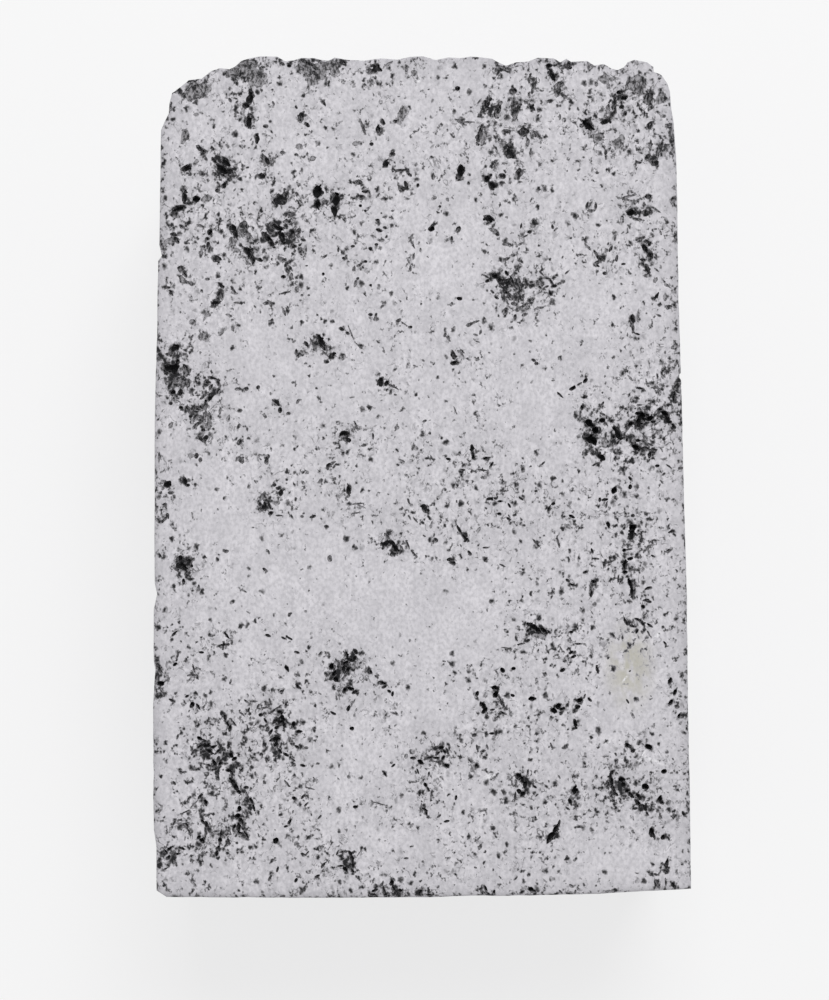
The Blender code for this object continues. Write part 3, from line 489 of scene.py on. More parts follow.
MAIN_PITS["right, below the middle"] = [
    (24.5, -0.3, 0.7, 0.4, -50, B), (24.5, -1.3, 0.7, 0.5, 80, D), (22.6, -1.7, 1, 0.7, 60, B),
    (20.9, -2.8, 0.6, 0.4, 80, B), (21.5, -2.8, 0.9, 0.4, 10, D), (21.7, -3.4, 0.9, 0.3, 80, D),
    (24.8, -6.1, 1, 0.9, 20, B), (24.7, -7, 1.6, 0.7, 80, B), (24.8, -4.7, 0.55, 0.5, 0, B),
    (21.9, -5.8, 0.9, 0.5, -75, B), (23.8, -7.9, 0.6, 0.35, 60, G), (24.4, -8.7, 0.9, 0.25, 10, D),
    (24.5, -9.8, 0.8, 0.5, 10, B), (20, -8.9, 0.8, 0.35, -75, B), (20.5, -9.8, 0.8, 0.3, -10, D),
    (29, -6, 0.9, 0.25, 70, D), (29.3, -6.6, 0.8, 0.35, 20, B), (29, -8.8, 0.8, 0.3, 30, D),
    (27.2, -9.5, 0.7, 0.3, -30, D), (15.4, -3.3, 0.6, 0.4, 30, B), (14.9, -3.9, 1, 0.35, 70, D),
    (17.6, -4.8, 0.9, 0.4, -25, B), (16.9, -5.9, 0.7, 0.4, -50, G), (16, -7.9, 1.6, 0.3, -75, B),
    (13.4, -8, 1.4, 0.3, -50, B), (11.6, -2.7, 0.8, 0.3, -35, B), (14.2, 1.5, 0.7, 0.3, 40, D),
    (19.2, -11.4, 0.7, 0.4, 20, B), (23.9, -10.5, 1.3, 0.6, 80, B), (23.8, -8.8, 0.55, 0.5, 0, B),
    (23.7, -10.2, 0.9, 0.4, 0, B), (23.9, -11.4, 0.7, 0.5, 0, B), (23.1, -12.2, 1, 0.3, 85, D),
    (23.4, -12.5, 0.8, 0.3, 60, B), (24.5, -12.7, 1.3, 0.6, -65, B), (24.7, -13.8, 1.6, 0.5, -85, B),
    (25, -12.7, 1, 0.25, 85, D), (20.2, -12.5, 0.8, 0.5, 0, B), (19.8, -13.2, 1.2, 0.3, 85, B),
    (19.9, -14, 0.9, 0.4, 80, B), (20.4, -12.9, 0.9, 0.25, -80, B), (20.3, -15.2, 0.7, 0.5, 80, G),
    (17.1, -12.4, 0.7, 0.4, -40, B), (17.7, -12.9, 1.1, 0.35, -15, B), (26.6, -13.3, 0.9, 0.4, 20, D),
    (26.4, -14.7, 0.9, 0.35, 10, B), (26.7, -14.9, 0.8, 0.4, -10, B), (26, -15.5, 0.6, 0.5, -30, B),
    (24, -17.3, 1.1, 0.4, -60, B), (24.8, -17.8, 1, 0.35, -15, B), (25.4, -17, 1, 0.35, -20, D),
    (26, -17.5, 1.1, 0.45, -60, D), (25.3, -18.4, 0.7, 0.35, 60, D), (26.8, -17.7, 0.9, 0.35, -35, B),
    (26.7, -18.7, 1, 0.25, -65, D), (28.6, -19.8, 0.7, 0.3, -50, B), (20.6, -22.9, 1.1, 0.4, -75, B),
    (16.5, -23, 0.8, 0.5, 30, B)]
MAIN_PITS["right, black cluster"] = [
    (12.6, -17.6, 1.1, 0.5, -15, B), (13.1, -17.9, 1.3, 0.7, -30, B), (13.6, -18.3, 1.1, 0.7, -45, B),
    (14.3, -18.3, 1.1, 0.6, -40, B), (14.9, -18.5, 0.7, 0.35, -50, B), (12.5, -18.3, 0.8, 0.45, 40, B),
    (14, -19, 1.3, 0.6, -10, G), (13.2, -18.9, 0.9, 0.5, 20, G), (12.4, -19.5, 0.7, 0.4, 30, B),
    (11.6, -19.9, 1.1, 0.25, 10, D), (17.5, -18.5, 0.6, 0.4, 0, B), (18.4, -19.9, 0.9, 0.3, 0, D),
    (17.5, -20.9, 0.7, 0.4, 30, B), (17.8, -21.4, 0.8, 0.4, 30, B), (12.9, -26.4, 1, 0.6, 0, D),
    (18.5, -26.6, 0.9, 0.6, 10, B), (19.1, -26.1, 0.7, 0.3, 70, B), (19.7, -26.5, 0.8, 0.35, -45, B),
    (18.3, -27.4, 0.8, 0.5, 30, B), (15.5, -27.8, 1, 0.7, -40, B), (16, -27.3, 0.9, 0.7, 70, B),
    (16.5, -27.6, 0.9, 0.5, 20, B), (16.3, -28.1, 0.6, 0.35, 70, B), (18, -29.3, 1.1, 0.55, -75, B),
    (17.9, -29.9, 0.8, 0.35, 10, B), (24.2, -26.7, 0.7, 0.3, -60, B), (29.2, -24.3, 1, 0.5, 70, B),
    (29.8, -25.6, 0.9, 0.5, 70, D), (29.3, -26.8, 0.9, 0.5, 60, D), (30.3, -28.4, 0.7, 0.5, 60, D),
    (24.8, -28.4, 0.9, 0.4, -60, G), (6.4, -25.8, 0.8, 0.5, 70, B), (7.3, -25.9, 0.8, 0.3, 70, G),
    (8.5, -25.1, 1, 0.6, -10, B), (8.6, -25.9, 0.9, 0.7, 60, D), (9.1, -26.4, 1.1, 0.3, -70, B),
    (7.2, -27.3, 1.2, 0.6, -70, B), (7.3, -27.8, 1, 0.6, 50, B), (6.8, -27, 0.7, 0.35, 80, B),
    (8.2, -27.7, 0.7, 0.3, 10, B), (9.5, -28.1, 0.9, 0.3, -30, B), (8.7, -28.7, 0.9, 0.3, 55, B),
    (9.4, -23, 0.8, 0.6, -50, B), (10.7, -22.8, 0.6, 0.45, 0, D), (9.9, -20.4, 1.4, 0.2, -10, D),
    (10.6, -26, 0.6, 0.4, -20, D)]
count_pits()

# %% Main pits of the near half
MAIN_PITS["centre, lower"] = [
    (-9.3, 5, 1.3, 0.8, 5, B), (-8.9, 4.8, 0.9, 0.4, 50, B), (-8.9, 4.3, 1.1, 0.6, -20, B),
    (-7, 3.6, 0.8, 0.35, 10, D), (-7.9, 5.9, 1.3, 0.3, -70, D), (-8.2, 5.6, 0.9, 0.3, 45, D),
    (-5.9, 4.7, 0.9, 0.3, -85, B), (-0.9, 3.3, 0.9, 0.6, -30, G), (-3.1, 5.7, 0.7, 0.5, 0, G),
    (-2.5, 1.8, 1, 0.3, -25, D), (0.2, 6.5, 0.6, 0.35, 20, B), (3.8, 7.8, 1.2, 0.2, -70, D),
    (5.8, 3.3, 1.1, 0.5, -85, B), (5.9, 2.5, 1.5, 0.45, -82, B), (3, 2, 0.7, 0.35, -10, B),
    (4.7, 0.7, 0.7, 0.3, 0, B), (7.5, 2.1, 0.9, 0.4, 10, D), (8.1, 1.3, 1, 0.35, 60, B),
    (7, 0.7, 1.4, 0.3, -8, B), (7.2, -0.2, 0.9, 0.4, 0, G), (-8.8, -1.6, 1.2, 0.7, 80, B),
    (-11, -9.8, 0.9, 0.6, -80, D), (-8.8, -2.4, 0.6, 0.35, 40, D), (-7.7, -3.3, 1.6, 0.25, 5, D),
    (-7.3, -3.6, 1.2, 0.22, -20, D), (-7.9, -4.4, 1.3, 0.2, 10, D), (0.1, -3.6, 0.9, 0.6, -10, B),
    (0.4, -4.1, 1, 0.6, 0, B), (0.2, -3.9, 0.8, 0.8, 45, B), (-1.7, -3, 0.9, 0.3, -75, B),
    (-0.9, -5.2, 1, 0.25, -50, D), (4.3, -6.4, 1.1, 0.4, -60, B), (4.8, -7.1, 1.1, 0.5, -55, B),
    (5.1, -7.6, 0.8, 0.4, 40, D), (3.9, -5.7, 1.1, 0.25, -75, D), (6.6, -6.4, 1, 0.4, 60, G),
    (1, -5.7, 0.9, 0.25, 75, D), (1.5, -7.6, 0.7, 0.5, -60, B), (7.9, -2.7, 1.1, 0.4, 10, D),
    (9.1, -3, 0.7, 0.35, 0, B), (10.2, -3.5, 0.7, 0.35, -60, D), (9, -4.5, 0.6, 0.4, 0, B),
    (10.1, -5.1, 0.7, 0.35, -40, D), (7.4, -8.5, 0.8, 0.3, 0, B), (7.4, -9.9, 0.6, 0.4, 60, B),
    (5.5, -9.1, 0.8, 0.4, -50, D), (-4.3, -7, 0.9, 0.3, -40, B), (-4.4, -8, 1.2, 0.7, 30, B),
    (-3.7, -7.9, 1.1, 0.7, -35, B), (-3.3, -8.6, 1.2, 0.8, -60, B), (-3.4, -9.2, 1.1, 0.5, 10, B),
    (-4.7, -8.5, 0.6, 0.4, 60, B), (-2.6, -8.4, 0.9, 0.25, -50, D), (-1.8, -8.1, 1.1, 0.25, -65, B),
    (-1.1, -9.2, 1.1, 0.3, -50, B), (-2.2, -8, 0.9, 0.3, 10, G), (3.2, -9.9, 1, 0.5, 0, B),
    (3.5, -10.3, 0.9, 0.5, -10, B), (9.4, -10.6, 0.9, 0.25, -25, B)]
MAIN_PITS["left of the centre, lower"] = [
    (-10.8, -22.6, 0.9, 0.7, 70, B), (-10.5, -23.4, 0.9, 0.6, 60, B), (-10.3, -24.1, 0.9, 0.7, -60, B),
    (-10.8, -24, 0.8, 0.5, 30, B), (-9, -21.2, 1.1, 0.4, -75, B), (-8.6, -21.8, 1.2, 0.5, -15, B),
    (-8, -20.8, 0.9, 0.5, -50, B), (-8.1, -21.6, 0.9, 0.5, 60, B), (-9.2, -22.2, 1.2, 0.5, 30, B),
    (-9.4, -22.9, 1.2, 0.5, 80, B), (-8.9, -23, 1, 0.5, 60, B), (-9.3, -23.8, 0.9, 0.3, 45, B),
    (-10.1, -22, 1, 0.25, -50, B), (-8.2, -22.5, 0.9, 0.5, 80, G), (-9.3, -25.4, 0.7, 0.5, 70, D),
    (-8.5, -25.2, 1, 0.5, -10, D), (-8.1, -25.6, 0.8, 0.5, 30, D), (-8.8, -27.5, 0.9, 0.5, 60, B),
    (-8.3, -26.9, 1.1, 0.2, 60, D), (-10.6, -28.1, 0.9, 0.35, -25, B), (-8.4, -29.9, 0.6, 0.5, 0, B),
    (-6.2, -23.2, 0.7, 0.45, -70, B), (-5.5, -23.8, 0.7, 0.3, -40, D), (-4.8, -24.5, 0.9, 0.4, -20, D),
    (-4.6, -25, 0.7, 0.4, 20, D), (-4, -25.5, 0.6, 0.4, -30, D), (-3.6, -25.8, 0.7, 0.4, 75, D),
    (-3.5, -28.1, 0.9, 0.25, -20, G), (-16.1, -22.8, 0.9, 0.5, -60, D), (-14.8, -23.6, 0.9, 0.25, -25, D),
    (-14.7, -25, 1, 0.35, -35, B), (-16.7, -25.5, 0.6, 0.4, 20, B), (-14.9, -20.9, 0.8, 0.35, -20, B),
    (-18.3, -18.9, 0.8, 0.4, -20, B), (-16.5, -19.2, 0.7, 0.3, -30, B), (-15.8, -19.2, 1.1, 0.3, -30, B),
    (-18.7, -11.1, 0.7, 0.4, -40, B), (-21.2, -13.6, 1, 0.25, -25, D)]
MAIN_PITS["left, star and anchor"] = [
    (-23.2, -18.9, 1, 0.35, -55, B), (-23.5, -20, 1.4, 0.35, 5, D), (-23.6, -20.1, 1.3, 0.3, 80, D),
    (-24.9, -18.9, 0.9, 0.25, 10, G), (-29.4, -18.7, 1, 0.35, 45, D), (-29, -21.2, 0.9, 0.3, 80, D),
    (-26.2, -20.9, 0.7, 0.35, -5, B), (-25.4, -21.6, 0.8, 0.3, 80, G), (-29.3, -22.3, 0.7, 0.4, 40, B),
    (-27.2, -23.6, 1.3, 0.3, 0, B), (-27.1, -22.8, 1.2, 0.25, -75, D), (-30.3, -22.3, 0.9, 0.3, 80, G),
    (-31.2, -22.8, 1.1, 0.35, -50, B), (-31, -24.6, 1, 0.7, 0, D), (-30.3, -24.2, 1.3, 0.22, 35, D),
    (-30.9, -25.6, 1.4, 0.22, -65, D), (-31.4, -23.9, 0.9, 0.25, 80, D), (-27.9, -26.1, 0.6, 0.35, 30, B),
    (-29.7, -26.6, 0.9, 0.35, -30, B), (-27.3, -27.1, 0.9, 0.6, 70, B), (-26.6, -27.3, 0.9, 0.4, -60, D),
    (-23.4, -28.7, 1.2, 0.4, -85, B), (-23.1, -29.4, 0.8, 0.4, -50, B), (-22.8, -29.9, 0.9, 0.45, 80, B),
    (-22.4, -29.2, 1.3, 0.25, -52, B), (-21.4, -28.2, 0.9, 0.25, -40, D), (-20.9, -26.7, 0.7, 0.3, -40, B),
    (-20, -26.7, 0.9, 0.25, 0, B), (-20.6, -27.7, 0.7, 0.3, 70, D), (-19.5, -27.3, 0.8, 0.3, 65, B),
    (-18.9, -27.5, 1.3, 0.3, 12, B), (-19.2, -28.3, 0.6, 0.5, 0, B), (-18.1, -26.7, 0.9, 0.3, -80, B),
    (-17.5, -27.7, 1.8, 0.28, 35, B), (-16.2, -27.2, 0.8, 0.35, 80, B), (-16.9, -28, 0.8, 0.5, -20, B),
    (-18.6, -29, 0.8, 0.35, -60, B), (-17.2, -28.9, 1.3, 0.45, 35, B), (-16.6, -28.7, 1, 0.6, -70, B),
    (-16.5, -29.4, 1.1, 0.5, -60, B), (-17.3, -29.8, 0.7, 0.5, 30, B), (-18, -30.3, 1, 0.4, 50, B),
    (-16.8, -29.2, 0.9, 0.6, 0, B), (-15.3, -29.4, 0.8, 0.6, 80, D), (-14.7, -30.3, 0.9, 0.5, 10, D),
    (-17.5, -31.2, 1.5, 0.6, 10, D), (-17.4, -31.8, 1, 0.5, 60, D), (-16.9, -32.6, 0.9, 0.4, -50, B),
    (-16.2, -33, 0.9, 0.4, -30, D), (-17.5, -33.1, 0.7, 0.3, 20, D), (-15.4, -33.6, 0.8, 0.3, -30, B),
    (-14.2, -34.3, 0.8, 0.4, -15, D), (-14.9, -32.1, 0.7, 0.4, -30, D), (-13.8, -32.2, 0.6, 0.4, 0, G)]
MAIN_PITS["left, lower"] = [
    (-26.4, -31.1, 0.8, 0.5, -30, B), (-25.8, -31.4, 0.8, 0.4, -40, D), (-26.3, -32, 1.1, 0.4, 30, B),
    (-25.6, -32, 1.3, 0.5, 0, D), (-25.3, -32.6, 1.2, 0.5, -30, D), (-26, -32.7, 0.9, 0.4, 20, D),
    (-27.2, -32.8, 0.8, 0.3, 50, D), (-24.8, -32.1, 1, 0.4, 20, D), (-24.2, -32.6, 1.5, 0.35, 42, B),
    (-25.4, -33.4, 0.7, 0.4, -40, B), (-24.2, -33.4, 0.6, 0.35, 60, B), (-24, -34.1, 0.7, 0.5, 60, B),
    (-24.7, -34, 1.1, 0.5, -70, B), (-25.3, -34.3, 0.7, 0.4, -30, D), (-24.8, -34.8, 0.9, 0.3, 10, B),
    (-23, -32, 0.8, 0.4, 80, B), (-22.7, -33.1, 0.9, 0.6, -50, B), (-22.3, -33.5, 0.8, 0.5, 30, D),
    (-22.1, -34.3, 1.1, 0.3, -75, D), (-21.5, -34.9, 1, 0.3, 55, B), (-22.6, -35.4, 1.1, 0.4, -85, B),
    (-22.5, -36.3, 1.1, 0.5, -60, B), (-22.1, -36.9, 1, 0.7, -60, B), (-21.8, -37.4, 0.8, 0.5, -40, B),
    (-23, -34.9, 0.7, 0.4, 0, D), (-20.9, -36.9, 0.7, 0.45, 0, D), (-20.8, -37.8, 1, 0.3, -65, B),
    (-20.3, -38.5, 0.9, 0.5, -60, B), (-20, -39.3, 1.2, 0.35, -75, D), (-21.7, -39.4, 0.8, 0.55, 80, B),
    (-21.9, -40.3, 0.9, 0.7, 40, B), (-21.5, -40.9, 1.1, 0.6, -70, B), (-21.8, -41.6, 1.3, 0.6, 80, D),
    (-21.6, -42.3, 1, 0.4, -10, B), (-20.9, -42.5, 1.2, 0.35, -60, B), (-20.8, -40.3, 0.7, 0.3, 85, B),
    (-22.3, -41.5, 0.7, 0.4, 60, D), (-29, -30.9, 0.8, 0.3, 70, B), (-28.3, -35.1, 0.9, 0.25, 10, B),
    (-29.4, -36.4, 0.6, 0.35, -60, D), (-26.4, -38, 0.8, 0.4, 55, B), (-27.1, -38.9, 1.6, 0.18, 45, D),
    (-28.1, -39.8, 1.5, 0.2, 25, D), (-29.4, -41.1, 0.7, 0.3, 60, B), (-25.7, -38.7, 0.9, 0.5, -80, B),
    (-26.3, -40.2, 0.9, 0.3, -80, D), (-26, -41, 0.9, 0.4, -50, B), (-25.6, -41.3, 1, 0.5, -75, B),
    (-27.9, -41.4, 0.8, 0.4, -60, D), (-28.2, -41.2, 0.7, 0.3, 10, D), (-27.8, -41.9, 0.9, 0.25, -60, D),
    (-26.5, -42.8, 0.7, 0.5, 40, B), (-26.1, -43.2, 0.9, 0.6, -50, B), (-25.7, -42.3, 1.2, 0.3, 80, B),
    (-24.4, -42.1, 1, 0.3, 5, B), (-23.9, -42.4, 0.9, 0.35, 85, B), (-24, -43.1, 0.7, 0.55, 80, B),
    (-24.2, -44.1, 0.8, 0.4, 70, D), (-24.4, -44.7, 0.8, 0.5, 80, B), (-30, -44.2, 0.9, 0.4, 40, B),
    (-30.4, -44.5, 0.8, 0.35, -50, D), (-29.1, -44.8, 0.9, 0.35, 10, B), (-30.1, -45.2, 0.8, 0.4, 60, B),
    (-28.5, -44.1, 0.9, 0.35, -20, D), (-31.2, -45.7, 0.8, 0.3, 35, B), (-30.5, -46.6, 0.9, 0.3, 35, B),
    (-29.3, -45.9, 0.9, 0.3, -60, D), (-27.2, -48.2, 1, 0.3, -55, G)]
count_pits()

# %% Main pits at the foot
MAIN_PITS["foot, left of the middle"] = [
    (-16.1, -36.4, 1.1, 0.3, -50, B), (-15.2, -38.2, 0.7, 0.5, -30, B), (-14.2, -38, 0.8, 0.35, 50, D),
    (-13.8, -38.9, 0.8, 0.3, 45, D), (-13.4, -37, 1.3, 0.2, -15, D), (-12.2, -40.4, 0.7, 0.3, 50, D),
    (-15.8, -41, 0.8, 0.4, 55, B), (-16.2, -41.5, 0.6, 0.35, 10, B), (-17.4, -43.2, 0.9, 0.7, 60, D),
    (-14.7, -43.8, 1, 0.25, -45, G), (-14.2, -44.8, 0.6, 0.35, -20, B), (-13.7, -44.7, 0.9, 0.25, 50, B),
    (-17.9, -45.7, 0.7, 0.3, 45, B), (-17.2, -46.6, 0.8, 0.35, 70, D), (-18.1, -47.6, 1, 0.35, 60, D),
    (-15, -47.9, 0.7, 0.4, 60, B), (-11.8, -46.1, 1, 0.4, 50, B), (-12.5, -47.4, 0.8, 0.35, 30, B),
    (-14.3, -49.2, 1.2, 0.3, 52, B), (-16.6, -49.8, 0.8, 0.35, 10, B), (-9.3, -44.5, 1.5, 0.3, 8, B),
    (-8.6, -44.7, 0.8, 0.5, -60, B), (-8.4, -45.4, 1.2, 0.55, -80, B), (-8.3, -46.2, 0.9, 0.45, 85, B),
    (-8.3, -46.8, 0.7, 0.4, -60, D), (-9.7, -46.2, 1, 0.3, 5, B), (-9.2, -46.6, 0.9, 0.5, -50, B),
    (-10.1, -44.6, 0.8, 0.3, 60, B), (-7.5, -44.6, 1.4, 0.15, 55, G), (-4.5, -35.3, 0.7, 0.35, -55, B),
    (-3.5, -34.3, 0.7, 0.3, 40, D), (-5.2, -38.8, 2.2, 0.16, -15, D), (-8, -39.2, 0.7, 0.45, 0, D),
    (-2, -45.3, 0.7, 0.3, 0, B), (-3.7, -48.2, 0.8, 0.6, 60, B), (-3.5, -48.8, 0.8, 0.4, -75, B),
    (-3.3, -49.5, 0.8, 0.35, 85, B), (-2.7, -49.1, 0.6, 0.5, 0, B), (-4.8, -48.3, 1, 0.3, 70, D),
    (-4.6, -49.2, 1.2, 0.4, -80, B), (-4.3, -49.6, 0.7, 0.3, 30, B), (-5.7, -49.1, 1, 0.4, 20, B),
    (-5.9, -49.6, 0.9, 0.4, 0, D)]
MAIN_PITS["foot, middle"] = [
    (2.1, -32.2, 0.9, 0.5, 10, B), (2.5, -32.6, 0.8, 0.4, -50, B), (0.7, -33.4, 0.9, 0.4, 20, B),
    (1.6, -33.4, 0.9, 0.35, 0, B), (1.2, -33.8, 1.1, 0.2, -5, D), (2.4, -33.4, 0.8, 0.45, 60, B),
    (1.7, -32.9, 0.9, 0.35, 40, D), (2.8, -34.3, 0.7, 0.45, -30, D), (-0.3, -33.9, 0.9, 0.6, -40, B),
    (-1.2, -33.4, 0.8, 0.4, 0, D), (-2, -33.2, 0.7, 0.5, 80, G), (-0.6, -35, 0.9, 0.25, -70, B),
    (0.7, -35.3, 0.7, 0.3, 80, B), (0.3, -36.6, 0.7, 0.5, -60, B), (0.6, -37.1, 0.8, 0.35, -65, B),
    (-0.4, -37.6, 0.8, 0.35, 85, D), (1, -37.9, 1.4, 0.28, 82, B), (3.9, -38.1, 0.7, 0.35, 80, B),
    (-0.2, -39.2, 1.2, 0.3, 85, D), (0.2, -39.5, 0.9, 0.35, -30, B), (0.4, -39.9, 0.9, 0.35, -85, B),
    (1.9, -40.3, 0.7, 0.3, 35, B), (2.8, -40.9, 0.8, 0.4, 10, B), (-1.3, -41.4, 0.7, 0.3, 45, G),
    (-0.3, -49.3, 0.8, 0.5, 60, B), (0.7, -49.6, 0.9, 0.3, 0, B), (-0.4, -49.7, 0.9, 0.3, 0, B),
    (7.4, -48.9, 1, 0.4, -65, B), (6.8, -48.9, 0.8, 0.3, 20, B), (7.5, -49.4, 0.9, 0.35, -10, B),
    (8.4, -49.3, 0.7, 0.4, 80, B), (6.4, -32.2, 0.9, 0.3, -85, B), (7.1, -32.6, 0.8, 0.3, 10, B),
    (7.6, -32.1, 0.8, 0.3, -75, D), (6.3, -34.3, 0.6, 0.4, 80, B), (8.2, -30.5, 0.8, 0.35, 0, B),
    (6.5, -43, 1.1, 0.2, 45, D)]
MAIN_PITS["foot, right"] = [
    (11.3, -35.5, 0.8, 0.7, 0, B), (11.8, -36, 1.1, 0.6, -75, B), (12.1, -36.6, 1.1, 0.6, 80, B),
    (12.4, -35.1, 0.9, 0.3, 85, B), (11.4, -37.4, 0.9, 0.6, -60, B), (11.8, -37.7, 0.9, 0.6, 50, D),
    (10.9, -37.9, 1.2, 0.3, 85, B), (13, -36.4, 1.2, 0.22, 88, B), (13.2, -36.8, 0.7, 0.35, -35, B),
    (17.9, -37.3, 1.1, 0.7, 80, B), (17.4, -38.6, 1, 0.5, -70, B), (17.1, -39.4, 0.7, 0.3, -35, B),
    (18, -39, 1.6, 0.18, -75, D), (16.1, -41.1, 0.9, 0.35, 80, B), (15.7, -41.8, 1.4, 0.6, 60, B),
    (15.2, -42.6, 1.2, 0.8, 45, B), (14.9, -43.1, 0.9, 0.6, 60, B), (14.8, -43.3, 0.7, 0.35, 60, D),
    (22.3, -35.2, 0.9, 0.45, 50, B), (22.1, -35.6, 0.7, 0.35, 10, B), (22.3, -36.2, 1.8, 0.5, -80, B),
    (22.5, -37.1, 1.1, 0.5, -65, B), (22.8, -37.7, 0.8, 0.4, -40, B), (21.7, -36.4, 0.9, 0.25, 75, B),
    (22.9, -33.9, 0.9, 0.25, 65, D), (23.5, -36, 0.9, 0.7, 0, B), (23.7, -36.6, 1, 0.6, -75, B),
    (24.2, -37.3, 0.8, 0.5, 20, B), (24.6, -37.8, 1.2, 0.5, -50, B), (25.5, -38, 1.1, 0.5, -55, B),
    (25.9, -38.2, 0.8, 0.3, -35, B), (25.4, -38.7, 1.1, 0.5, -45, B), (26.2, -39.3, 1, 0.5, -60, B),
    (25.1, -39.4, 0.7, 0.35, 10, B), (26.5, -40, 0.7, 0.3, -60, B), (26.3, -36.8, 1, 0.8, -20, B),
    (28.5, -35, 0.8, 0.6, 20, B), (28, -38.3, 1, 0.6, 80, B), (28.2, -38.7, 0.6, 0.45, 0, D),
    (28, -40.2, 0.9, 0.25, 85, B), (27, -42.1, 1.1, 0.7, 80, D), (27.3, -42.7, 0.9, 0.4, -70, B),
    (28.4, -42.8, 0.8, 0.6, 50, D), (24.2, -31.9, 0.8, 0.6, -40, B), (24.8, -32.6, 0.6, 0.45, 0, D),
    (26.7, -32.1, 1, 0.7, -20, B), (15.2, -32, 1, 0.25, -70, B), (16.7, -32.2, 0.8, 0.3, 10, D),
    (31.3, -38.8, 0.7, 0.3, -75, B), (30.8, -40, 0.8, 0.4, -60, D), (28.5, -46, 0.9, 0.25, 0, D),
    (28.8, -46, 1.5, 0.5, 80, D), (28.6, -46.8, 0.9, 0.25, -20, D), (27.5, -47.2, 0.6, 0.35, -20, D),
    (28.7, -48.1, 1.2, 0.25, -88, B), (27.7, -48.4, 1.4, 0.22, -65, D), (29.6, -48.5, 0.9, 0.45, -60, B),
    (29.8, -48.8, 0.7, 0.4, 80, B), (12.8, -49, 0.9, 0.6, -30, B), (13.1, -49.2, 0.7, 0.5, 20, B),
    (11.7, -49.3, 0.9, 0.35, 30, D), (16.3, -49.3, 0.8, 0.3, -50, B), (18, -49.3, 0.7, 0.3, 80, D),
    (22.1, -49.2, 1.4, 0.3, 0, G)]
count_pits()

# %% [markdown]
# ## Main pits as points
#
# Geometry Nodes can put a shape on every vertex of a mesh, and can read that
# vertex's own attributes for its size and turn.  So the main pits become a
# mesh of loose vertices on the top face.  A pit as deep as it is wide is black
# inside, and shallower ones stay grey.  On the right and towards the foot the
# glass is coarser and its pits go deeper.

# %% One loose vertex for each main pit
DEPTH_PER_WIDTH = 1.0        # of a black pit
SHALLOWEST, DEEPEST = 0.12, 1.3    # mm
COARSE_FROM, COARSE_BELOW = 5.0, 12.0   # mm: the glass is coarse right of and below this
FOOT_BELOW = -16.0           # mm: and all of it is below this
COARSE_WIDTH, COARSE_DEPTH = 0.35, 1.35   # mm, and how much deeper a pit that wide goes there


def store(mesh, name, kind, values):
    """Keeps one value for each vertex under that name."""
    attribute = mesh.attributes.new(name, kind, "POINT")
    attribute.data.foreach_set("vector" if kind == "FLOAT_VECTOR" else "value", values)


def depth_of(x, y, width, deep):
    """A main pit's depth in mm.  In the coarse glass all but the grey ones go further down."""
    coarse = y < FOOT_BELOW or (x > COARSE_FROM and y < COARSE_BELOW)
    if coarse and deep != G:
        deep = COARSE_DEPTH if width >= COARSE_WIDTH else B
    return max(min(DEPTH_PER_WIDTH * width, DEEPEST) * deep, SHALLOWEST)


def make_pit_points():
    pits = [pit for region in MAIN_PITS.values() for pit in region]
    mesh = bpy.data.meshes.new("main pits")
    mesh.from_pydata([on_top(x, y) for x, y, *_ in pits], [], [])
    halves, turns = [], []
    for x, y, length, width, turn, deep in pits:
        halves += [length / 2 * MM, width / 2 * MM, depth_of(x, y, width, deep) * MM]
        turns.append(math.radians(turn))
    store(mesh, "half sizes", "FLOAT_VECTOR", halves)
    store(mesh, "turn", "FLOAT", turns)
    return placed("main pits", mesh)


pit_points = make_pit_points()
print("main pits:", len(pit_points.data.vertices), "points")

# %% [markdown]
# ## Two finishes
#
# The stone is one material, yet it needs two finishes.  The sanded skin is pale
# and even.  Inside a bubble the glass was never rubbed: it is darker, and the
# deeper it lies the less light gets back out, which the wall finish paints in as
# shade.  Both are made here, so that the node tree can hand them out, and get
# their nodes further down.

# %% Start the finishes
SKIN = bpy.data.materials.new("sanded skin")
WALL = bpy.data.materials.new("bubble wall")
ON_SKIN, ON_WALL = 0, 1      # the finishes' places on the stone
for finish in (SKIN, WALL):
    finish.use_nodes = True
    finish.node_tree.nodes.clear()
print("finishes:", SKIN.name, "and", WALL.name)

# %% [markdown]
# ## Writing node trees by hand
#
# A tree is nodes and links.  One short helper adds a node, sets its options,
# and fills its inputs: a socket is linked, anything else is typed in.  With it
# a tree reads from top to bottom, like a recipe.  The others wrap the nodes that
# every tree here needs again and again.

# %% Helpers for every node tree
def add(tree, kind, settings=(), inputs=()):
    """A new node with its settings; each input is linked or typed in."""
    node = tree.nodes.new(kind)
    for name, value in dict(settings).items():
        setattr(node, name, value)
    for name, value in dict(inputs).items():
        socket = node.inputs[name]
        if not isinstance(name, int):
            socket = next(s for s in node.inputs if s.enabled and s.name == name)
        if isinstance(value, bpy.types.NodeSocket):
            tree.links.new(value, socket)
        else:
            socket.default_value = value
    return node


def only(sockets):
    """The socket in use, of a node that has one for each kind of value."""
    return next(socket for socket in sockets if socket.enabled)


def attribute_of(tree, name, kind):
    """What is stored under that name."""
    return only(add(tree, "GeometryNodeInputNamedAttribute", {"data_type": kind},
                    {"Name": name}).outputs)


def math_of(tree, operation, *values):
    """A Math node's result."""
    return add(tree, "ShaderNodeMath", {"operation": operation}, enumerate(values)).outputs[0]


def vector_of(tree, operation, *values):
    """A Vector Math node's result.  Scale takes a vector and a number."""
    names = (0, "Scale") if operation == "SCALE" else range(len(values))
    return add(tree, "ShaderNodeVectorMath", {"operation": operation}, zip(names, values)).outputs[0]


def axis_of(tree, vector, axis):
    """One coordinate of a vector."""
    return add(tree, "ShaderNodeSeparateXYZ", {}, {0: vector}).outputs[axis]


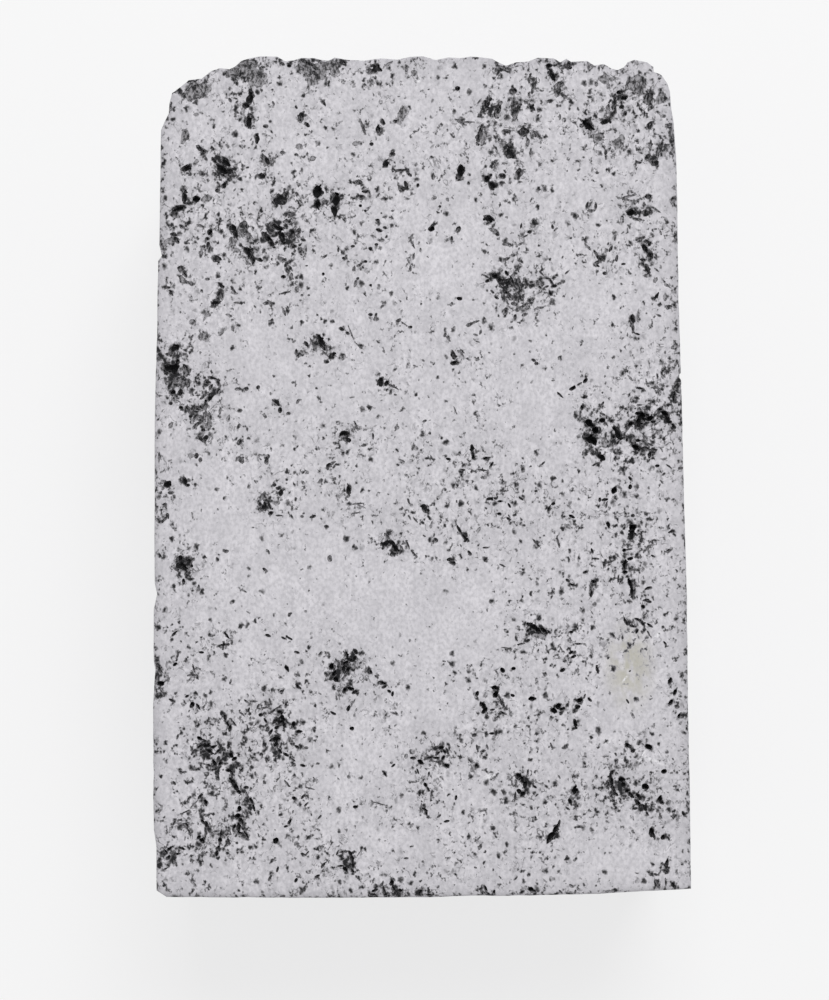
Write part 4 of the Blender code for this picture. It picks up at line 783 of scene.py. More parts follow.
def position(tree):
    return add(tree, "GeometryNodeInputPosition").outputs[0]


def stored(tree, geometry, name, kind, value, domain="POINT"):
    """That geometry with a value stored on it under that name."""
    return add(tree, "GeometryNodeStoreNamedAttribute", {"data_type": kind, "domain": domain},
               {"Geometry": geometry, "Name": name, "Value": value}).outputs[0]


# %% Start a modifier tree
def new_tree(name, sockets):
    """An empty modifier tree with those inputs, and its first and last node."""
    tree = bpy.data.node_groups.new(name, "GeometryNodeTree")
    tree.interface.new_socket("Geometry", in_out="INPUT", socket_type="NodeSocketGeometry")
    for label, (kind, value) in sockets.items():
        socket = tree.interface.new_socket(label, in_out="INPUT", socket_type=kind)
        if value is not None:
            socket.default_value = value
    tree.interface.new_socket("Geometry", in_out="OUTPUT", socket_type="NodeSocketGeometry")
    return tree, tree.nodes.new("NodeGroupInput"), tree.nodes.new("NodeGroupOutput")


# %% [markdown]
# ## Bubble shapes
#
# No bubble is round.  Each shape starts as an icosphere one unit in radius, and
# a noise pushes its points in and out.  A handful of such shapes, picked at
# random, turned and stretched, is enough that no two pits look alike.  Thousands
# of pits share them, so the small ones have only twenty faces.

# %% Dented balls to pick from
SHAPES = 7                   # of each fineness
NEXT_SHAPE, NEXT_FINENESS = 5.7, 31.0   # steps through the noise, so that no two are dented alike


def bubble_shapes(tree, fineness, ragged):
    """Several unit bubbles, each dented in its own way."""
    shapes = add(tree, "GeometryNodeJoinGeometry")
    place = position(tree)
    for number in range(SHAPES):
        ball = add(tree, "GeometryNodeMeshIcoSphere", {},
                   {"Radius": 1.0, "Subdivisions": fineness})
        dents = add(tree, "ShaderNodeTexNoise", {"noise_dimensions": "4D"},
                    {"Vector": place, "W": NEXT_SHAPE * number + NEXT_FINENESS * fineness,
                     "Scale": 1.9, "Detail": 2.0, "Roughness": 0.6})
        push = math_of(tree, "MULTIPLY", math_of(tree, "SUBTRACT", dents.outputs[0], 0.5), ragged)
        dented = add(tree, "GeometryNodeSetPosition", {},
                     {"Geometry": ball.outputs[0], "Offset": vector_of(tree, "SCALE", place, push)})
        single = add(tree, "GeometryNodeGeometryToInstance", {}, {0: dented.outputs[0]})
        tree.links.new(single.outputs[0], shapes.inputs[0])
    return shapes.outputs[0]


# %% Put them on points, sized and turned at random
def put_bubbles(tree, points, shapes, rotation, scale, seed, chosen=True):
    """On each chosen point one of the shapes, picked at random."""
    pick = add(tree, "FunctionNodeRandomValue", {"data_type": "INT"},
               {"Min": 0, "Max": SHAPES - 1, "Seed": seed})
    return add(tree, "GeometryNodeInstanceOnPoints", {},
               {"Points": points, "Selection": chosen, "Instance": shapes, "Pick Instance": True,
                "Instance Index": only(pick.outputs), "Rotation": rotation, "Scale": scale}).outputs[0]


def random_of(tree, low, high, seed):
    """A random number, or a random vector if the limits are vectors."""
    kind = "FLOAT_VECTOR" if isinstance(low, tuple) else "FLOAT"
    node = add(tree, "FunctionNodeRandomValue", {"data_type": kind},
               {"Min": low, "Max": high, "Seed": seed})
    return only(node.outputs)


def spun(tree, rotation, seed):
    """That rotation, spun by a random angle round its own Z."""
    spin = add(tree, "FunctionNodeAxisAngleToRotation", {},
               {"Axis": (0.0, 0.0, 1.0), "Angle": random_of(tree, 0.0, math.tau, seed)})
    return add(tree, "FunctionNodeRotateRotation", {"rotation_space": "LOCAL"},
               {0: rotation, 1: spin.outputs[0]}).outputs[0]


# %% [markdown]
# ## Where the other bubbles are
#
# Besides the main pits there are pinholes everywhere, and the sides, the break
# and the underside have their own larger bubbles.  Points are scattered on the
# slab evenly, and then a large soft noise decides which of them stay, so that
# some patches are full of holes and others nearly smooth.
#
# A large bubble is really several that ran together.  So each point is copied a
# few times, and the copies are shifted along the surface by up to two or three
# times their own size.

# %% Scattered points, thinned into patches
def patchy(tree, points, patch_size, least, seed):
    """Those points, thinned to a share between least and 1 by a soft noise."""
    place = vector_of(tree, "SCALE", position(tree), 1.0 / patch_size)
    cloud = add(tree, "ShaderNodeTexNoise", {"noise_dimensions": "4D"},
                {"Vector": place, "W": float(seed), "Scale": 1.0, "Detail": 2.0}).outputs[0]
    share = add(tree, "ShaderNodeMapRange", {}, {"Value": cloud, "From Min": 0.38, "From Max": 0.66,
                                                 "To Min": least, "To Max": 1.0}).outputs[0]
    dropped = math_of(tree, "GREATER_THAN", random_of(tree, 0.0, 1.0, seed + 1), share)
    return add(tree, "GeometryNodeDeleteGeometry", {"domain": "POINT"},
               {"Geometry": points, "Selection": dropped}).outputs[0]


def skewed(tree, low, high, power, seed):
    """A random size, small far more often than large."""
    share = math_of(tree, "POWER", random_of(tree, 0.0, 1.0, seed), power)
    return math_of(tree, "MULTIPLY_ADD", share, high - low, low)


# %% Pinholes
RIM_CROWDED = 18.0           # how many times more pinholes the rims have
RIM_LEANS = 0.97             # a normal's Z below which a face near a rim belongs to it


def on_rim(tree):
    """1 on the worn faces round the top and the underside, 0 elsewhere."""
    height = axis_of(tree, position(tree), "Z")
    up = axis_of(tree, add(tree, "GeometryNodeInputNormal").outputs[0], "Z")
    from_middle = math_of(tree, "ABSOLUTE", math_of(tree, "SUBTRACT", height, THICKNESS / 2))
    near = math_of(tree, "GREATER_THAN", from_middle, THICKNESS / 2 - RIM_STEPS[-1][0] * MM)
    return math_of(tree, "MULTIPLY", near,
                   math_of(tree, "LESS_THAN", math_of(tree, "ABSOLUTE", up), RIM_LEANS))


def pinholes(tree, stone, density, seed):
    """Single small bubbles all over the stone, and many more on its rims, which they nick."""
    crowded = math_of(tree, "MULTIPLY_ADD", on_rim(tree), RIM_CROWDED, 1.0)
    spread = add(tree, "GeometryNodeDistributePointsOnFaces", {},
                 {"Mesh": stone, "Density": math_of(tree, "MULTIPLY", crowded, density), "Seed": seed})
    points = patchy(tree, spread.outputs["Points"], patch_size=7.0 * MM, least=0.12, seed=40)
    size = skewed(tree, low=0.1 * MM, high=0.3 * MM, power=1.6, seed=41)
    stretch = random_of(tree, (1.0, 0.7, 0.8), (1.9, 1.0, 1.4), seed=42)
    return put_bubbles(tree, points, bubble_shapes(tree, fineness=1, ragged=0.5),
                       spun(tree, spread.outputs["Rotation"], seed=43),
                       vector_of(tree, "SCALE", stretch, size), seed=44)


# %% Bubbles that ran together
FACES_UP = 0.6               # a normal's Z above which a face belongs to the top
GROUP_OF = 7
FINER_FROM = 0.6 * MM        # half width from which a bubble is made of smaller faces


def bubble_groups(tree, stone, density, seed):
    """Groups of bubbles that ran together, on every face but the top one."""
    up = axis_of(tree, add(tree, "GeometryNodeInputNormal").outputs[0], "Z")
    broken = math_of(tree, "GREATER_THAN", axis_of(tree, position(tree), "Y"), BROKEN_FROM * MM)
    spread = add(tree, "GeometryNodeDistributePointsOnFaces", {},
                 {"Mesh": stone, "Selection": math_of(tree, "LESS_THAN", up, FACES_UP), "Seed": seed,
                  "Density": math_of(tree, "MULTIPLY_ADD", broken, density, density)})
    points = patchy(tree, spread.outputs["Points"], patch_size=11.0 * MM, least=0.06, seed=50)
    size = skewed(tree, low=0.22 * MM, high=1.15 * MM, power=1.9, seed=51)
    points = stored(tree, points, "group size", "FLOAT", size)
    points = stored(tree, points, "group turn", "QUATERNION", spread.outputs["Rotation"])
    copies = add(tree, "GeometryNodeDuplicateElements", {"domain": "POINT"},
                 {"Geometry": points, "Amount": GROUP_OF}).outputs[0]
    size = attribute_of(tree, "group size", "FLOAT")
    turn = attribute_of(tree, "group turn", "QUATERNION")
    apart = random_of(tree, (-2.6, -1.5, 0.0), (2.6, 1.5, 0.0), seed=52)
    shift = add(tree, "FunctionNodeRotateVector", {},
                {"Vector": vector_of(tree, "SCALE", apart, size), "Rotation": turn}).outputs[0]
    moved = add(tree, "GeometryNodeSetPosition", {}, {"Geometry": copies, "Offset": shift}).outputs[0]
    stretch = random_of(tree, (0.6, 0.35, 0.5), (1.5, 0.9, 1.3), seed=53)
    large = math_of(tree, "GREATER_THAN", size, FINER_FROM)
    small = math_of(tree, "SUBTRACT", 1.0, large)
    return [put_bubbles(tree, moved, bubble_shapes(tree, fineness, ragged=0.8),
                        spun(tree, turn, seed=54), vector_of(tree, "SCALE", stretch, size),
                        54 + fineness, chosen)
            for fineness, chosen in ((1, small), (2, large))]


# %% [markdown]
# ## Open the bubbles
#
# Now all the bubbles are taken out of the slab with one Mesh Boolean.  Its
# Manifold solver treats every instance as a solid of its own, so bubbles may
# overlap freely and the slab stays closed.  Afterwards each point is measured
# against the uncut slab: its distance, stored as "sunk", is 0 on the skin and
# grows towards the bottom of a bubble, and the finishes go by it.  Each face
# also keeps the side of the slab it opens on, which the flat map goes by.

# %% Main pits, and small bubbles on their rims
# fineness, half length in mm from and to, how much fuller, how ragged
MAIN_CLASSES = [(1, 0.0, 0.41, 1.14, 1.1), (2, 0.41, 0.85, 1.04, 1.4), (3, 0.85, 9.0, 1.0, 1.6)]
SLIMMER_LONG, SLIMMER_WIDE = 0.95, 0.94   # a dented ball reaches past its radius here and there
RIM_BUBBLES_FROM = 0.52 * MM   # half length of a pit that smaller bubbles broke into
RIM_BUBBLES_PER_MM = 4.0     # of that half length
RIM_BUBBLE_LEAST = 0.06 * MM   # half width, to which a share of the pit's own is added


def main_bubbles(tree, points):
    """The main pits: the larger a pit, the finer its shape."""
    half, turn = attribute_of(tree, "half sizes", "FLOAT_VECTOR"), attribute_of(tree, "turn", "FLOAT")
    about_z = add(tree, "ShaderNodeCombineXYZ", {}, {"Z": turn}).outputs[0]
    rotation = add(tree, "FunctionNodeEulerToRotation", {}, {0: about_z}).outputs[0]
    long = axis_of(tree, half, "X")
    classes = []
    for fineness, shortest, longest, fuller, ragged in MAIN_CLASSES:
        fits = math_of(tree, "MULTIPLY", math_of(tree, "GREATER_THAN", long, shortest * MM),
                       math_of(tree, "LESS_THAN", long, longest * MM))
        scale = vector_of(tree, "MULTIPLY", half, (SLIMMER_LONG * fuller, SLIMMER_WIDE * fuller, 1.0))
        shapes = bubble_shapes(tree, fineness, ragged)
        classes.append(put_bubbles(tree, points, shapes, rotation, scale, 60 + fineness, fits))
    classes.append(rim_bubbles(tree, points, half, rotation, long))
    return classes


def rim_bubbles(tree, points, half, rotation, long):
    """Small bubbles round the rim of each larger pit, which they have broken into."""
    large = math_of(tree, "GREATER_THAN", long, RIM_BUBBLES_FROM)
    amount = math_of(tree, "MULTIPLY_ADD", long, RIM_BUBBLES_PER_MM / MM, 0.5)
    copies = add(tree, "GeometryNodeDuplicateElements", {"domain": "POINT"},
                 {"Geometry": points, "Selection": large, "Amount": amount}).outputs[0]
    angle = random_of(tree, 0.0, math.tau, seed=71)
    out = random_of(tree, 0.6, 1.08, seed=72)
    along = add(tree, "ShaderNodeCombineXYZ", {},
                {"X": math_of(tree, "MULTIPLY", math_of(tree, "COSINE", angle), out),
                 "Y": math_of(tree, "MULTIPLY", math_of(tree, "SINE", angle), out)}).outputs[0]
    shift = add(tree, "FunctionNodeRotateVector", {},
                {"Vector": vector_of(tree, "MULTIPLY", along, half), "Rotation": rotation}).outputs[0]
    moved = add(tree, "GeometryNodeSetPosition", {}, {"Geometry": copies, "Offset": shift}).outputs[0]
    size = math_of(tree, "MULTIPLY_ADD", axis_of(tree, half, "Y"),
                   random_of(tree, 0.2, 0.55, seed=73), RIM_BUBBLE_LEAST)
    deep = math_of(tree, "MULTIPLY", axis_of(tree, half, "Z"), random_of(tree, 0.3, 0.9, seed=74))
    ball = add(tree, "ShaderNodeCombineXYZ", {}, {"X": size, "Y": size, "Z": deep}).outputs[0]
    stretch = random_of(tree, (0.7, 0.7, 1.0), (1.6, 1.2, 1.0), seed=75)
    return put_bubbles(tree, moved, bubble_shapes(tree, fineness=1, ragged=0.9),
                       spun(tree, rotation, seed=76), vector_of(tree, "MULTIPLY", ball, stretch),
                       seed=77)


# %% The tree that opens the bubbles
SUNK_LEAST = 0.012 * MM      # a face deeper than this is wall, not skin


def bubble_tree():
    sockets = {"Main pits": ("NodeSocketObject", None),
               "Pinholes per m2": ("NodeSocketFloat", 30000.0),
               "Groups per m2": ("NodeSocketFloat", 22000.0),
               "Seed": ("NodeSocketInt", 7)}
    tree, start, end = new_tree("open the bubbles", sockets)
    stone = start.outputs["Geometry"]
    points = add(tree, "GeometryNodeObjectInfo", {}, {"Object": start.outputs["Main pits"]})
    bubbles = main_bubbles(tree, points.outputs["Geometry"])
    bubbles.append(pinholes(tree, stone, start.outputs["Pinholes per m2"], start.outputs["Seed"]))
    bubbles += bubble_groups(tree, stone, start.outputs["Groups per m2"], start.outputs["Seed"])
    cut = add(tree, "GeometryNodeMeshBoolean", {"operation": "DIFFERENCE", "solver": "MANIFOLD"},
              {0: stone})
    for kind in bubbles:
        tree.links.new(kind, cut.inputs[1])
    sunk = add(tree, "GeometryNodeProximity", {"target_element": "FACES"},
               {0: stone}).outputs["Distance"]
    opened = stored(tree, cut.outputs[0], "sunk", "FLOAT", sunk)
    nearest = add(tree, "GeometryNodeSampleNearestSurface", {"data_type": "INT"},
                  {"Mesh": stone, "Value": attribute_of(tree, "chart", "INT")}).outputs[0]
    opened = stored(tree, opened, "chart", "INT", nearest, domain="FACE")
    real = add(tree, "GeometryNodeRealizeInstances", {}, {0: opened}).outputs[0]
    skin = add(tree, "GeometryNodeSetMaterial", {}, {"Geometry": real, "Material": SKIN}).outputs[0]
    inside = math_of(tree, "GREATER_THAN", sunk, SUNK_LEAST)
    done = add(tree, "GeometryNodeSetMaterial", {},
               {"Geometry": skin, "Selection": inside, "Material": WALL}).outputs[0]
    tree.links.new(done, end.inputs[0])
    return tree


# %% Sides of the slab
TOP, UNDER, LEFT, RIGHT, NEAR, FAR = range(6)
LIES_FLAT = 0.5              # a normal's Z above which a face belongs to the top or the underside


def side_of(normal):
    """Which side of the slab a face with that normal belongs to."""
    if abs(normal.z) > LIES_FLAT:
        return TOP if normal.z > 0 else UNDER
    if abs(normal.x) > abs(normal.y):
        return RIGHT if normal.x > 0 else LEFT
    return FAR if normal.y > 0 else NEAR


def tell_sides(mesh):
    """Stores each face's side under the name chart."""
    chart = mesh.attributes.new("chart", "INT", "FACE")
    chart.data.foreach_set("value", [side_of(face.normal) for face in mesh.polygons])


# %% Run a tree, and sweep up after it
def run_tree(piece, tree, values):
    """The piece's mesh as that modifier tree makes it."""
    modifier = piece.modifiers.new(tree.name, "NODES")
    modifier.node_group = tree
    for item in tree.interface.items_tree:
        if item.item_type == "SOCKET" and item.name in values:
            modifier[item.identifier] = values[item.name]
    graph = bpy.context.evaluated_depsgraph_get()
    mesh = bpy.data.meshes.new_from_object(piece.evaluated_get(graph), depsgraph=graph)
    piece.modifiers.remove(modifier)
    return mesh


def sweep(mesh):
    """Takes away crumbs of glass that the bubbles have cut off all round."""
    bm = bmesh.new()
    bm.from_mesh(mesh)
    left, pieces = set(bm.verts), []
    while left:
        piece = [left.pop()]
        for vert in piece:      # the list grows while it is walked
            near = [edge.other_vert(vert) for edge in vert.link_edges]
            piece += [other for other in near if other in left]
            left.difference_update(near)
        pieces.append(piece)
    pieces.sort(key=len)
    bmesh.ops.delete(bm, geom=[vert for piece in pieces[:-1] for vert in piece], context="VERTS")
    bm.to_mesh(mesh)
    bm.free()
    return len(pieces) - 1


# %% Open the bubbles
slab.data.materials.append(SKIN)
tell_sides(slab.data)
stone = placed("stone", run_tree(slab, bubble_tree(), {"Main pits": pit_points}))
for helper in (slab, pit_points):
    bpy.data.objects.remove(helper)
print("swept away", sweep(stone.data), "crumbs")
print("opened stone:", len(stone.data.polygons), "faces, finishes",
      [finish.name for finish in stone.data.materials])

# %% [markdown]
# ## Crisp lips, smooth sides
#
# The top and the underside are sawn flat, so their faces stay flat-shaded.  The
# sides wave gently and the bubble walls are round, so those are smooth.  Edges
# that turn steeply, as they do where skin meets wall, are marked sharp, which
# keeps the lips crisp.

# %% Flat faces, smooth faces and sharp lips
import numpy as np

LEVEL_ENOUGH = 0.9999        # a normal's Z above which a face counts as flat
SHARP_FROM = math.radians(42)


def read(items, name, kind=float):
    """One number for each face, corner or point, as an array."""
    values = np.empty(len(items), dtype=kind)
    items.foreach_get(name, values)
    return values


def read_vectors(items, name):
    """One vector for each face or point, as the rows of an array."""
    values = np.empty(len(items) * 3)
    items.foreach_get(name, values)
    return values.reshape(-1, 3)


def shade(mesh):
    skin = read(mesh.polygons, "material_index", int) == ON_SKIN
    level = np.abs(read_vectors(mesh.polygons, "normal")[:, 2]) > LEVEL_ENOUGH
    mesh.polygons.foreach_set("use_smooth", ~(level & skin))
    mesh.set_sharp_from_angle(angle=SHARP_FROM)


shade(stone.data)
print("shaded", len(stone.data.polygons), "faces")

# %% [markdown]
# ## How crowded the bubbles are
#
# Around large bubbles the glass is frothy: the skin between them is riddled with
# pores far too small to model.  To tell the finish where that is, the area of
# all bubble walls is gathered in cells of under a millimetre and blurred, and
# each point of the stone keeps what it finds there.  It is done twice: a little
# blurred for the froth close to a bubble, and much for the wider patches.

# %% Froth around the bubbles
CELL = 0.8 * MM
BLURS = {"froth near": 2, "froth wide": 14}   # how many times each is blurred
MARGIN = 4                   # empty cells round the stone
FULLEST = 97                 # percentile that counts as wholly crowded


def blurred(cells, rounds):
    """A grid of numbers, each mixed with its neighbours that many times."""
    for _ in range(rounds):
        for axis in range(3):
            cells = (np.roll(cells, 1, axis) + 2.0 * cells + np.roll(cells, -1, axis)) / 4.0
    return cells


def read_cells(cells, places):
    """What lies at those places, mixed from the eight cells round each."""
    base = np.floor(places - 0.5).astype(int)
    part = places - 0.5 - base
    value = np.zeros(len(places))
    for corner in np.ndindex(2, 2, 2):
        weight = np.prod(np.where(corner, part, 1.0 - part), axis=1)
        value += weight * cells[tuple((base + corner).T)]
    return value


def crowding(mesh, rounds):
    """Area of the bubble walls near each point of the mesh, in mm2 for each cell."""
    cells = np.zeros(np.ceil(np.array(HIGH - LOW) / CELL).astype(int) + 2 * MARGIN)
    walls = read(mesh.polygons, "material_index", int) == ON_WALL
    centres = (read_vectors(mesh.polygons, "center") - np.array(LOW)) / CELL + MARGIN
    areas = read(mesh.polygons, "area") / MM ** 2
    np.add.at(cells, tuple(centres[walls].astype(int).T), areas[walls])
    points = (read_vectors(mesh.vertices, "co") - np.array(LOW)) / CELL + MARGIN
    return read_cells(blurred(cells, rounds), points)


for name, rounds in BLURS.items():
    values = crowding(stone.data, rounds)
    fullest = np.percentile(values, FULLEST)
    store(stone.data, name, "FLOAT", np.clip(values / fullest, 0.0, 1.0))
    print(name, "fullest", round(float(fullest), 3), "mm2 of wall in each cell")

# %% [markdown]
# ## Lips that crumble
#
# The glass round a bubble is as thin as eggshell, and sanding breaks it away in
# crumbs.  So the finish has to know how near the next lip is.  A lip runs where
# skin and wall share a point.  A k-d tree holds all such points, and finds the
# nearest one for every other point far faster than comparing each with each.

# %% Worn lips
from mathutils.kdtree import KDTree

LIP_WIDTH = 0.32 * MM        # over this the crumbling falls to a third


def search_tree(places):
    """Those places, sorted so that the nearest one is found fast."""
    tree = KDTree(len(places))
    for number, place in enumerate(places):
        tree.insert(place, number)
    tree.balance()
    return tree


def crumbling(mesh):
    """For each point, 1 on the lip of a bubble and less the further off it is."""
    meets = np.zeros((len(mesh.vertices), 2), dtype=bool)
    for finish in (ON_SKIN, ON_WALL):
        corners = [v for face in mesh.polygons if face.material_index == finish for v in face.vertices]
        meets[corners, finish] = True
    lips = search_tree([mesh.vertices[number].co for number in np.flatnonzero(meets.all(axis=1))])
    away = np.array([lips.find(vert.co)[2] for vert in mesh.vertices])
    return np.exp(-away / LIP_WIDTH)


store(stone.data, "lip", "FLOAT", crumbling(stone.data))
print("lips told for", len(stone.data.vertices), "points")

# %% [markdown]
# ## Rims that wear, with painted shade
#
# The rims of the two flat faces are knocked and rubbed most, so they are more
# open than the faces inside them, and greyer: partly from that wear, and partly
# painted shade where the rounded rim turns away from the light.  The same search
# does it, this time among points laid closely along the plan.

# %% Worn and shaded rims
# the greyer rim is partly wear and partly painted shade, both fading inwards over this reach
RIM_REACH = 0.7 * MM        # over this the wear falls to a third
OUTLINE_STEP = 0.3 * MM


def rim_wear_and_shade(mesh):
    """For each point, 1 on the rim of the top face or of the underside, and less further in."""
    outline = search_tree(ring_points(OUTLINE_STEP))
    wear = []
    for vert in mesh.vertices:
        from_face = min(vert.co.z, THICKNESS - vert.co.z)
        inwards = outline.find((vert.co.x, vert.co.y, 0.0))[2]
        wear.append(math.exp(-(inwards + from_face) / RIM_REACH))
    return wear


store(stone.data, "rim", "FLOAT", rim_wear_and_shade(stone.data))
print("rims told for", len(stone.data.vertices), "points")

# %% [markdown]
# ## Frothier and smoother places
#
# Some parts of the top face are peppered with fine froth although no large
# bubble is near, and others were rubbed nearly smooth.  Each such place is a
# soft round hill or hollow of froth, and they are added up.  The other faces
# have no place that must match, so a slow noise makes their patches.

# %% Zones of froth
# x, y, how far across and along (mm), and how much frothier (+) or smoother (-)
ZONES = [
    (-28, -44, 5, 7, 0.35), (-22, -33, 6, 6, 0.15), (-14, -43, 8, 7, 0.3), (0, -46, 8, 4, 0.3),
    (18, -40, 6, 6, 0.3), (26, -36, 5, 6, 0.35), (7, -32, 6, 9, 0.4), (18, -19, 5, 4, 0.35),
    (25, -8, 5, 9, 0.45), (14, -6, 7, 6, 0.35), (3, 0, 8, 6, 0.5), (27, 10, 5, 7, 0.35),
    (14, 12, 5, 4, 0.1), (-23, 31, 8, 6, 0.12), (-16, 20, 5, 6, 0.12), (0, 40, 10, 8, 0.1),
    (-27, -20, 5, 6, 0.2), (-18, -28, 5, 4, 0.25), (-12, 3, 7, 6, 0.25), (20, 38, 8, 7, 0.25),
    (-17, 14, 5, 4, -0.4), (2, -18, 5, 4, -0.4), (16, 9, 4, 3, -0.3), (24, -24, 4, 4, -0.2),
    (-24, -5, 4, 4, -0.3), (22, -46, 3, 3, -0.3), (-6, -13, 8, 5, -0.3), (4, 27, 4, 7, -0.3)]

TOP_LAYER = 1.5 * MM         # as deep as the zones reach down
OTHER_FACES, PATCHES = 0.12, 8.0 * MM   # below that: froth on average, and the size of its patches


def zoned(mesh):
    """For each point, the sum of the zones that it lies in."""
    places = np.array([vert.co[:2] for vert in mesh.vertices])
    total = np.zeros(len(places))
    for x, y, across, along, amount in ZONES:
        away = (places - np.array(on_stone(x, y)[:2])) / (np.array((across, along)) * MM)
        total += amount * np.exp(-(away ** 2).sum(axis=1))
    depths = np.array([THICKNESS - vert.co.z for vert in mesh.vertices])
    patches = np.array([noise.noise(vert.co / PATCHES) for vert in mesh.vertices])
    return np.where(depths < TOP_LAYER, total, OTHER_FACES + patches)


store(stone.data, "zone", "FLOAT", zoned(stone.data))
print("zones:", len(ZONES))

# %% [markdown]
# ## A flat map of the stone
#
# The finishes below are patterns in space and need no map, but anyone who wants
# to paint or bake the stone does.  A box of six charts suits it: each face of
# the stone belongs to the side of the slab it opens on, bubble walls included,
# and is laid flat by dropping one coordinate.  The top gets the most room.

# %% Six charts
MAP_SIDE = 1024.0            # pixels along the square map
# from TOP to FAR: which coordinate runs across, which up, the chart's corner, pixels per mm
CHARTS = [
    ("top", 0, 1, (6, 6), 7.9),
    ("under", 1, 0, (520, 722), 4.6),
    ("left", 1, 2, (520, 6), 4.9),
    ("right", 1, 2, (520, 184), 4.9),
    ("near", 0, 2, (520, 362), 4.9),
    ("far", 0, 2, (520, 540), 4.9),
]


def lay_out(mesh):
    """Gives each face's corners their place in the map named OFBake."""
    chart = read(mesh.attributes["chart"].data, "value", int)
    chart = np.repeat(chart, read(mesh.polygons, "loop_total", int))
    of_corner = read(mesh.loops, "vertex_index", int)
    place = (read_vectors(mesh.vertices, "co")[of_corner] - np.array(LOW)) / MM
    flat = np.zeros((len(mesh.loops), 2))
    for number, (side, across, up, corner, scale) in enumerate(CHARTS):
        on_it = chart == number
        flat[on_it] = (place[on_it][:, (across, up)] * scale + corner) / MAP_SIDE
    mesh.uv_layers.new(name="OFBake")
    mesh.uv_layers["OFBake"].data.foreach_set("uv", flat.ravel())
    return {side: int((chart == number).sum()) for number, (side, *_) in enumerate(CHARTS)}


print("corners on each chart:", lay_out(stone.data))

# %% [markdown]
# ## The sanded skin
#
# Sanded pumice is a pale grey with a breath of violet.  Up close it is never
# one tone.  It is cloudy, sanding has left faint streaks along it, and it is
# riddled with froth too fine to model: ragged pores, round specks, and short
# crooked cracks where two bubbles nearly met.  Their dark insides are painted
# shade of holes too small to model, over the darker glass in them.  Each of these
# is its own small pattern in Object coordinates, which run through the solid, so
# no seam shows.
#
# The helpers below turn one pattern into one number between 0 and 1.  The froth
# helpers also take how crowded the place is, which comes from the values stored
# on the stone, so the froth thickens round the bubbles and thins out elsewhere.

# %% Patterns to mix
# colours from the palest glass down to the bottom of a bubble; the darker ones paint its shade over darker
# glass
PALE, CLOUD = (0.752, 0.733, 0.770, 1.0), (0.455, 0.446, 0.474, 1.0)
LIP, CHIP = (0.36, 0.352, 0.372, 1.0), (0.25, 0.244, 0.256, 1.0)
HALF_SHADE, DEEP_SHADE = (0.11, 0.107, 0.113, 1.0), (0.016, 0.016, 0.018, 1.0)


def in_mm(tree, stretch=(1.0, 1.0, 1.0)):
    """Object coordinates in millimetres, with each axis divided by its stretch."""
    place = add(tree, "ShaderNodeTexCoord").outputs["Object"]
    return vector_of(tree, "MULTIPLY", place, tuple(1.0 / (MM * part) for part in stretch))


def noise_in(tree, grain, detail, roughness, distortion=0.0):
    """A noise with that grain in mm along each axis."""
    return add(tree, "ShaderNodeTexNoise", {},
               {"Vector": in_mm(tree, grain), "Scale": 1.0, "Detail": detail,
                "Roughness": roughness, "Distortion": distortion}).outputs[0]


def eased(tree, value, low, high, first=0.0, last=1.0):
    """From first to last as the value goes from low to high, softly at both ends."""
    return add(tree, "ShaderNodeMapRange", {"interpolation_type": "SMOOTHSTEP"},
               {"Value": value, "From Min": low, "From Max": high,
                "To Min": first, "To Max": last}).outputs[0]


def soft_noise(tree, grain, low, high, detail=3.0, roughness=0.55):
    """A noise of that grain, as 0 below low and 1 above high."""
    return eased(tree, noise_in(tree, grain, detail, roughness), low, high)


def between(tree, share, low, high):
    """A number that goes from low to high as the share goes from 0 to 1."""
    return add(tree, "ShaderNodeMapRange", {},
               {"Value": share, "To Min": low, "To Max": high}).outputs[0]


# %% Round specks
SPECK_BENT = 0.9             # how far, in cells, a speck is bent out of round
SPECK_REACH, SPECK_MORE = 0.17, 0.26   # of a cell: the least, and how much more by chance
SPECK_FAINTEST = 0.25


def specks(tree, size, crowd, rare, common):
    """Soft round dots, at most one in each cell of that size, more of them where it is crowded."""
    place = in_mm(tree, (size, size * 1.15, size))
    wobble = add(tree, "ShaderNodeTexNoise", {}, {"Vector": place, "Scale": 1.7, "Detail": 2.0})
    bent = vector_of(tree, "SCALE", vector_of(tree, "SUBTRACT", wobble.outputs["Color"],
                                              (0.5, 0.5, 0.5)), SPECK_BENT)
    cells = add(tree, "ShaderNodeTexVoronoi", {},
                {"Vector": vector_of(tree, "ADD", place, bent), "Scale": 1.0})
    chance = add(tree, "ShaderNodeSeparateColor", {}, {0: cells.outputs["Color"]})
    there = math_of(tree, "LESS_THAN", chance.outputs["Red"], between(tree, crowd, rare, common))
    reach = math_of(tree, "MULTIPLY_ADD", chance.outputs["Green"], SPECK_MORE, SPECK_REACH)
    deep = add(tree, "ShaderNodeMapRange", {},
               {"Value": math_of(tree, "DIVIDE", cells.outputs["Distance"], reach),
                "From Min": 0.3, "From Max": 1.2, "To Min": 1.0, "To Max": 0.0}).outputs[0]
    strength = math_of(tree, "MULTIPLY_ADD", chance.outputs["Blue"], 1.0 - SPECK_FAINTEST,
                       SPECK_FAINTEST)
    return math_of(tree, "MULTIPLY", math_of(tree, "MULTIPLY", deep, there), strength)


# %% Crooked cracks
CRACK_HALF = 0.035           # how near its middle the noise counts as a crack


def threads(tree, size, crowd):
    """Fine crooked cracks: where a noise crosses its middle, broken into short lengths."""
    cloud = noise_in(tree, (size, size * 1.2, size), 3.0, 0.6, distortion=0.5)
    off = math_of(tree, "ABSOLUTE", math_of(tree, "SUBTRACT", cloud, 0.5))
    line = eased(tree, off, 0.0, CRACK_HALF, first=1.0, last=0.0)
    broken = soft_noise(tree, (1.1, 1.3, 1.1), 0.5, 0.64)
    return math_of(tree, "MULTIPLY", math_of(tree, "MULTIPLY", line, broken), crowd)


